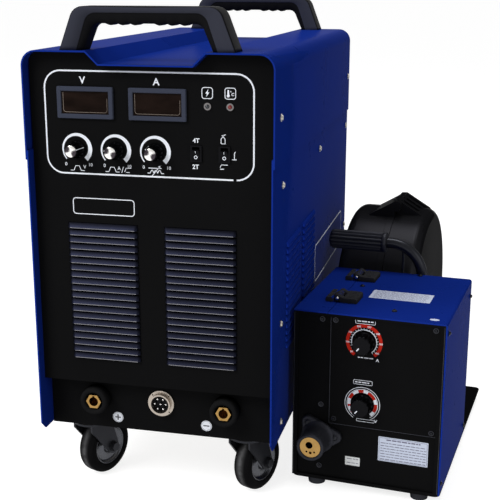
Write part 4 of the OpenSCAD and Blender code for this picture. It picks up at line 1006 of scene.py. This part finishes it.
def hinge_face(start, rise=0):
    """The wall across a hinge's near end, at the hinge line."""
    return wall(feeder + hinge_line * feeder_right + start * feeder_back
                + (feeder_top + rise) * up, feeder_right, up)


def on_side(side, outline):
    """An outline drawn right of the hinge line, mirrored to its left where side is -1, and
    anticlockwise either way."""
    return (outline * [side, 1])[::side]


def hinge_parts(start, side, width, stations, proud):
    """One leaf: a bevelled block beside the knuckles, a ribbed barrel at each station, a neck
    from the block to each barrel, all swept along the hinge line, and the screws' dished heads."""
    face, top = hinge_face(start), 7 + proud
    block = np.array([(knuckle + 0.8, 0.05), (width + proud, 0.05), (width + proud, 4.6),
                      (width - 1.2, top - 0.4), (width - 2.4, top), (knuckle + 4.4, top),
                      (knuckle + 2.8, top - 0.8), (knuckle + 0.8, 4.2)])
    neck = np.array([(knuckle + 1.2, 0.6), (knuckle + 3.4, 4), (knuckle + 4.2, top - 0.2),
                     (1.5, 10.2), (0.5, 7), (1.5, 2.2)])
    block, neck = [even(on_side(side, outline), 0.8) for outline in (block, neck)]
    parts = [moulded(block, -leaf_long - proud, proud, 0.7, face, 4)]
    for first, length in stations:
        parts.append(moulded(neck, -first - length, -first, 0.3, face, 3))
        ribs = np.linspace(first, first + length, int(length / rib_pitch) + 1)
        swell = knuckle + 0.25 - 0.5 * (np.arange(len(ribs)) % 4 == 2)
        swell[[0, -1]] -= 0.5
        rings = [(0, -ribs[0]), *zip(swell, -ribs), (0, -ribs[-1])]
        parts.append(lathe(rings, face, (0, knuckle_z), 32))
    screw_x = side * ((knuckle + width) / 2 + 1.2)
    dish = [(0, -0.5), (3.4, -0.5), (3.4, 0.25), (3.0, 0.45), (2.6, 0.25), (2.4, -0.25),
            (1.6, -0.1), (0, -0.02)]
    for share in (0.24, 0.76):
        spot = at(face, (screw_x, top, -share * leaf_long))[0]
        parts.append(lathe(dish, wall(spot, feeder_right, feeder_back), n=20))
    return parts


hinge_plastic = finish("hinge_plastic", (0.022, 0.022, 0.024), 0.45, grain=1800, relief=0.1,
                       mottling=0.2)
pin_profile = [(0, -37.3), (2.4, -37.3), (2.6, -36.6), (2.6, 0.6), (2.2, 1.1), (1.2, 1.4),
               (0, 1.5)]
fixed_leaves, moving_leaves, pins = [], [], []
for start in (48, 161):
    fixed_leaves += hinge_parts(start, 1, 28, [(0, 9), (27, 9)], 0)
    moving_leaves += hinge_parts(start, -1, 17, [(9.6, 16.8)], 0.15)
    pins.append(lathe(pin_profile, hinge_face(start, knuckle_z), n=24))
fixed = make_piece("hinge_leaves", fixed_leaves, "feeder", hinge_plastic, True)
make_piece("hinge_pins", pins, "feeder", chrome, True)
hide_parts("flap_hinges")
make_piece("flap_leaves", moving_leaves, "top_flap", hinge_plastic, True)

# ---- Blank plates ----
# Two bare outlines where a maker would put a name: a rounded plate under the knobs, and a wide
# frame printed on the power source's side walls.

plate = rounded_box((-66, 413), 84, 21, 4)
white_print("plate_outline", [ribbon(plate, 1.1, control_face, closed=True)])
for side, face, mirror in side_walls:
    wide = rounded_box((mirror * 452, 270), 270, 58, 9)
    white_print(side + "_outline", [ribbon(wide, 2, face, closed=True)])
